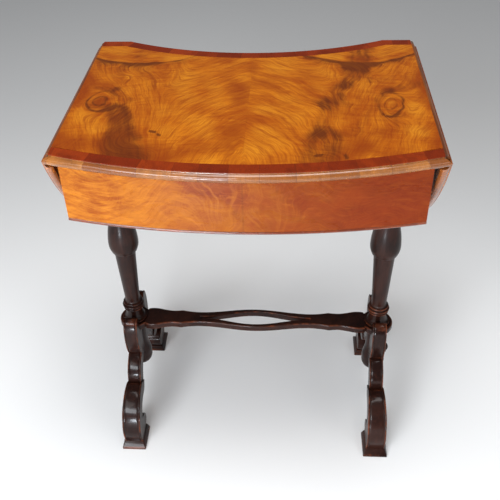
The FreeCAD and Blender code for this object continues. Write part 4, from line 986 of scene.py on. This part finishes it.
# %% The leg's two lines
disc_r = stretcher_high[0] - PEDESTAL
BACK = disc_r + 1.0
CHEEK = POST - 3 - BACK                     # the back line where it is let into the post
foot_low, foot_high = box_mm("foot_rear_right")
FOOT_TOP = foot_high[2]
upper_front = flow([(9, 252), (18, 247), (25.5, 230), (27.5, 205), (24.5, 182), (19.5, 166)])
lower_front = flow([(60, 117), (80, 114), (102, 101), (119, 83), (130, 58), (131.5, 38), (126, FOOT_TOP)])
neck = int(np.argmin(np.hypot(*(upper_front - (27.5, 205)).T)))
knee = int(np.argmin(np.hypot(*(lower_front - (119, 83)).T)))
stages = [
    (upper_front[:neck + 1], flow([(6, 251.4), (1.8, 247.5), (0, 238), (0, 222), (0, 209)])),
    (upper_front[neck:], np.array([(CHEEK, 209), (CHEEK, 165)])),
    (flow([(13.4, 161), (23, 157), (38, 146), (49, 130), (54, 110)]),
     flow([(CHEEK, 165), (CHEEK, 144), (4, 138), (20, 122), (32, 99)])),
    (lower_front[:knee + 1], flow([(32, 99), (48, 86), (70, 86), (90, 76), (98, 60)])),
    (lower_front[knee:],
     flow([(97, 54), (90, 54.5), (81, 50), (74, 40), (74, 26), (86, FOOT_TOP)])),
]
STATIONS = (20, 14, 20, 20, 24)
NOTCH = 6.0                                 # a step this long between stages is a cut corner
CREST = 243.0                               # the scroll's worn top starts at this height
front_curve = np.vstack([spread(f, n) for (f, b), n in zip(stages, STATIONS)])
back_curve = np.vstack([spread(b, n) for (f, b), n in zip(stages, STATIONS)])
stage_of = np.repeat(np.arange(5), STATIONS)
strides = np.vstack([np.gradient(front_curve[stage_of == k], axis=0) for k in range(5)])
face_way = np.stack([-strides[:, 1], strides[:, 0]], -1)
face_way /= np.linalg.norm(face_way, axis=1)[:, None]
face_way *= np.sign(((front_curve - back_curve) * face_way).sum(1).mean())
leap = np.linalg.norm(np.diff(front_curve, axis=0, prepend=front_curve[:1]), axis=1) > NOTCH
notch = leap | np.roll(leap, -1)
widening = np.clip((front_curve[:, 0] - 57) / 55, 0, 1)
half_wide = np.where(stage_of < 3, 13.5, 15.5 + 3.0 * widening)
print("stations", len(front_curve))

# %% Section and surface of a leg
# across the face: share of the half width, depth below the face, relief
FACE = np.array([
    (1.0, 2.2, 0.0), (1.0, 1.1, 0.7), (0.985, 0.45, 1.0), (0.94, 0.08, 1.0), (0.89, 0.0, 1.0),
    (0.84, 0.25, 0.6), (0.80, 0.9, 0.0), (0.78, 1.7, -1.0), (0.755, 1.75, -1.0), (0.735, 1.0, -0.4),
    (0.70, 0.75, 0.1), (0.55, 0.55, 0.1), (0.35, 0.42, 0.1), (0.12, 0.38, 0.1)])


def leg(name, sx, sy):
    """point(i, j): across the front face, down one side, across the back and up the other side."""
    face = np.vstack([FACE, FACE[::-1] * [-1, 1, 1]])
    span = face[:, 0] * half_wide[:, None]
    depth = face[:, 1]
    f = front_curve[:, None, :] - depth[None, :, None] * face_way[:, None, :]
    down = np.array([0.12, 0.35, 0.65, 0.88])
    sides = front_curve[:, None, :] + (back_curve - front_curve)[:, None, :] * down[None, :, None]
    back = np.repeat(back_curve[:, None, :], 4, 1)
    wide_side = np.repeat(half_wide[:, None], 4, 1)
    wide_back = half_wide[:, None] * np.array([-0.97, -0.4, 0.4, 0.97])
    plane = np.concatenate([f, sides, back, sides[:, ::-1]], 1)
    x = np.concatenate([span, -wide_side, wide_back, wide_side], 1)
    grid = np.stack([sx * PEDESTAL + x, sy * (BACK + plane[..., 0]), plane[..., 1]], -1)
    crest = np.concatenate([face[:, 2], np.zeros(4), np.full(4, 0.2), np.zeros(4)])
    relief = np.broadcast_to(crest, x.shape).copy()
    relief[(front_curve[:, 1] > CREST) | notch] += 0.45
    node = "leg_" + name
    piece(node + "_carved", grid * MM, dark_walnut, node, {"relief": relief}, sharp=52.0)


# %% Feet
def ring_round(hx, hy, r, n=8):
    """A rounded rectangle about the origin: four quarter circles, n points each."""
    t = np.linspace(0, np.pi / 2, n)
    quarter = np.stack([hx - r + r * np.cos(t), hy - r + r * np.sin(t)], -1)
    flip = quarter[::-1]
    return np.vstack([quarter, flip * [-1, 1], quarter * [-1, -1], flip * [1, -1]])


# height, how far in at the sides, how far in at the toe, relief
FOOT_ROWS = ((0.0, 0.5, 0.5, 0.6), (0.5, 0.0, 0.0, 0.9), (3.6, 0.0, 0.0, 0.7), (4.2, 0.25, 0.5, 0.9),
             (7, 1.4, 3.2, 0.2), (10.5, 3.1, 6.9, 0), (13.2, 4.7, 10.2, 0.2), (13.8, 5.2, 11.0, 0.9),
             (FOOT_TOP, 6.0, 11.8, 0.1))


def foot(name, sx, sy):
    """Rings stacked from the floor up; the bevel draws in 6 mm at the sides and 12 mm at the toe."""
    hx, long = (foot_high[0] - foot_low[0]) / 2, foot_high[1] - foot_low[1]
    rows, relief = [], []
    for z, inset, toe, value in FOOT_ROWS:
        ring = ring_round(hx - inset, long / 2 - (inset * 0.4 + toe) / 2, 1.6)
        y = foot_low[1] + long / 2 + ring[:, 1] + (inset * 0.4 - toe) / 2
        rows.append(np.stack([sx * PEDESTAL + ring[:, 0], sy * y, np.full(len(ring), z)], -1))
        relief.append(np.full(len(ring), value))
    node = "foot_" + name
    piece(node + "_block", np.array(rows) * MM, dark_walnut, node, {"relief": relief}, sharp=30.0)


for end, sy in (("front", -1), ("rear", 1)):
    for side, sx in (("left", -1), ("right", 1)):
        leg(end + "_" + side, sx, sy)
        foot(end + "_" + side, sx, sy)

# %% [markdown]
# ## The pierced stretcher
# One thin board, sawn to a waving outline with a long slot. Rulings from outline to slot would cross
# where the board narrows to a waist, so the two worn arrises are carried round as rows of loops,
# and the flat faces between the last loops are filled with triangles, which nobody can see on a flat.

# %% Stretcher
SWELL, CUSP = 112.0, 150.0                  # where the middle swell ends, and where the waist's cusp is


def stretcher_half(x):
    """Half width of the board at x: a cosine swell, a parabola to the cusp, then the ends' own curve."""
    a = np.abs(x)
    waist = 14.7 + 4.8 * ((a - SWELL) / (CUSP - SWELL)) ** 2
    swell = np.where(a <= SWELL, 20.1 + 5.4 * np.cos(np.pi * a / SWELL), waist)
    line = [(CUSP, 19.5)] + [(PEDESTAL - back, half) for back, half in
                            ((87, 18.1), (75, 17.8), (61, 20.4), (47, 23.9), (35, 24.8), (25, 23.4))]
    ends = np.interp(a, *flow(line, 10).T)
    body = np.where(a <= CUSP, swell, np.where(a <= PEDESTAL - 25, ends, 0))
    disc = np.sqrt(np.clip(disc_r ** 2 - (a - PEDESTAL) ** 2, 0, None))
    return np.maximum(body, disc)


SLOT = 113.0
share = np.sin(np.linspace(np.pi / 2, -np.pi / 2, 301))


def both_sides(x, half):
    """A closed loop, anticlockwise: from +x over the far side to -x, and back on the near side."""
    upper = np.stack([x, half], -1)
    return np.vstack([upper, upper[::-1][1:-1] * [1, -1]])


x_out = share * (PEDESTAL + disc_r - 0.02)
outer = both_sides(x_out, stretcher_half(x_out))
x_in = share * SLOT
inner = both_sides(x_in, 9.6 + 8.1 * np.cos(np.pi * x_in / SLOT))


def loop_normal(loop):
    """Unit outward normal of a closed line that runs anticlockwise."""
    way = np.roll(loop, -1, 0) - np.roll(loop, 1, 0)
    out = np.stack([way[:, 1], -way[:, 0]], -1)
    return out / np.linalg.norm(out, axis=1)[:, None]


n_out, n_in = loop_normal(outer), loop_normal(inner)
low, high = UNDER, SEAT
# each row of an arris: how far in from the line, its height, its relief
RIM = ((1.6, low, 0.2), (0.7, low, 0.4), (0.15, low + 0.3, 0.6), (0.0, low + 1.0, 0.5),
       (0.0, low + 6, -0.2), (0.0, high - 3.4, 0.1), (0.25, high - 1.7, 0.9), (0.9, high - 0.6, 1.0),
       (2.0, high - 0.06, 0.9), (3.1, high, 0.4), (4.1, high, 0.0))


# %% Rows of loops made into a board
def loops_board(name, node, *sides):
    """Rows of loops round each line, quads between rows, and flat faces filled from loop to loop.

    Each side is a closed line, the way out of the wood on it, and how wide its arris is."""
    points, quads, relief, ends = [], [], [], ([], [])
    for loop, way, wide in sides:
        first, n = sum(map(len, points)), len(loop)
        for inset, z, value in RIM:
            points.append(np.column_stack([loop - way * inset * wide, np.full(n, z)]))
            relief.append(np.full(n, value))
        quads.append(grid_quads(len(RIM), n) + first)
        for end, row in zip(ends, (0, len(RIM) - 1)):
            end.append(first + row * n + np.arange(n))
    points = np.vstack(points)
    faces = np.vstack(quads).tolist()
    for end in ends:
        numbers = np.concatenate(end)
        rings = [[Vector(v) for v in points[e]] for e in end]
        faces += numbers[np.array(tessellate_polygon(rings))].tolist()
    mesh = bpy.data.meshes.new(name)
    mesh.from_pydata((points * MM).tolist(), [], faces)
    made = bmesh.new()
    made.from_mesh(mesh)
    bmesh.ops.recalc_face_normals(made, faces=made.faces)
    made.to_mesh(mesh)
    made.free()
    finished(name, mesh, dark_walnut, node, {"relief": np.concatenate(relief)}, sharp=40.0)


loops_board("stretcher_pierced", "stretcher", (outer, n_out, 1.0), (inner, -n_in, 0.7))

# %% [markdown]
# ## Floor, light and camera
# A plain pale floor fills the view. The key stands high in front on the left; a broad window below it
# draws the long soft shine on the edge moulding and the scrolls, and a small low one shines on the
# columns' bulbs. A fill on the right softens the shadow side, and a light over the top shows its figure.

# %% Stage
def paint_floor(g):
    """Pale floor paper, with painted shade that greys it a little towards the back."""
    # painted shade: the floor's colour greys from front to back in place of light falling off with distance
    back = g.fit(g.split()[1], -1.2, 1.6)
    return g.mix(back, (0.96, 0.96, 0.96), (0.57, 0.57, 0.57)), None, None


FLOOR_Z = -0.0005                           # half a millimetre under the feet
floor_mesh = bpy.data.meshes.new("floor")
corners = [(x, y, FLOOR_Z) for x, y in ((-6, -5), (6, -5), (6, 9), (-6, 9))]
floor_mesh.from_pydata(corners, [], [(0, 1, 2, 3)])
floor = in_scene("floor", floor_mesh)
floor_mesh.materials.append(finish_of("Pale floor", paint_floor, 0.9))
paper = next(n for n in floor_mesh.materials[0].node_tree.nodes if n.type == "BSDF_PRINCIPLED")
paper.inputs["Emission Color"].default_value = (1, 1, 1, 1)
paper.inputs["Emission Strength"].default_value = 0.09


def soft_light(name, place, aim, size, watts, colour=(1, 1, 1)):
    """An area light at place that looks at aim."""
    data = bpy.data.lights.new(name, "AREA")
    data.shape = "RECTANGLE"
    data.size, data.size_y = size
    data.energy = watts
    data.color = colour
    made = in_scene(name, data)
    made.visible_camera = False
    made.location = place
    made.rotation_euler = (Vector(aim) - Vector(place)).to_track_quat("-Z", "Y").to_euler()


soft_light("key", (-1.6, -2.1, 2.7), (0, 0, 0.5), (1.6, 1.2), 22, (1.0, 0.99, 0.97))
soft_light("window", (-0.95, -2.4, 1.72), (0, 0, 0.4), (1.5, 0.7), 62, (0.90, 0.95, 1.0))
soft_light("low window", (-0.40, -1.75, 0.13), (0, 0, 0.5), (0.34, 0.20), 16, (0.84, 0.92, 1.0))
soft_light("fill", (2.1, -1.9, 1.7), (0, 0, 0.4), (1.4, 1.4), 11, (0.95, 0.975, 1.0))
soft_light("over", (0.1, -0.3, 3.0), (0, -0.1, 0.5), (1.6, 1.2), 52, (1.0, 0.995, 0.985))
world = bpy.data.worlds.new("studio")
bpy.context.scene.world = world
world.use_nodes = True
world.node_tree.nodes["Background"].inputs["Color"].default_value = (0.84, 0.88, 0.94, 1)
world.node_tree.nodes["Background"].inputs["Strength"].default_value = 0.13
bpy.context.scene.view_settings.view_transform = "Standard"

# %% Camera
YAW, PITCH, ROLL = -0.0854437, 0.6630742, -0.0401680       # radians
SENSOR, LENS = 36.0, 52.648704              # mm
SHIFT_X, SHIFT_Y = 0.021416, -0.021824      # shares of the image's width
PLACE = (0.0668938, -1.0778263, 1.2707993)  # metres
ahead = Vector((math.sin(YAW) * math.cos(PITCH), math.cos(YAW) * math.cos(PITCH), -math.sin(PITCH)))
level = Vector((math.cos(YAW), -math.sin(YAW), 0))
upward = level.cross(ahead)
right = level * math.cos(ROLL) + upward * math.sin(ROLL)
top_way = upward * math.cos(ROLL) - level * math.sin(ROLL)
camera_data = bpy.data.cameras.new("camera")
camera_data.sensor_width = SENSOR
camera_data.lens = LENS
camera_data.shift_x, camera_data.shift_y = SHIFT_X, SHIFT_Y
camera = in_scene("camera", camera_data)
turn = Matrix((right, top_way, -ahead)).transposed().to_4x4()
camera.matrix_world = Matrix.Translation(PLACE) @ turn
bpy.context.scene.camera = camera
print("camera", [round(v, 3) for v in camera.location])
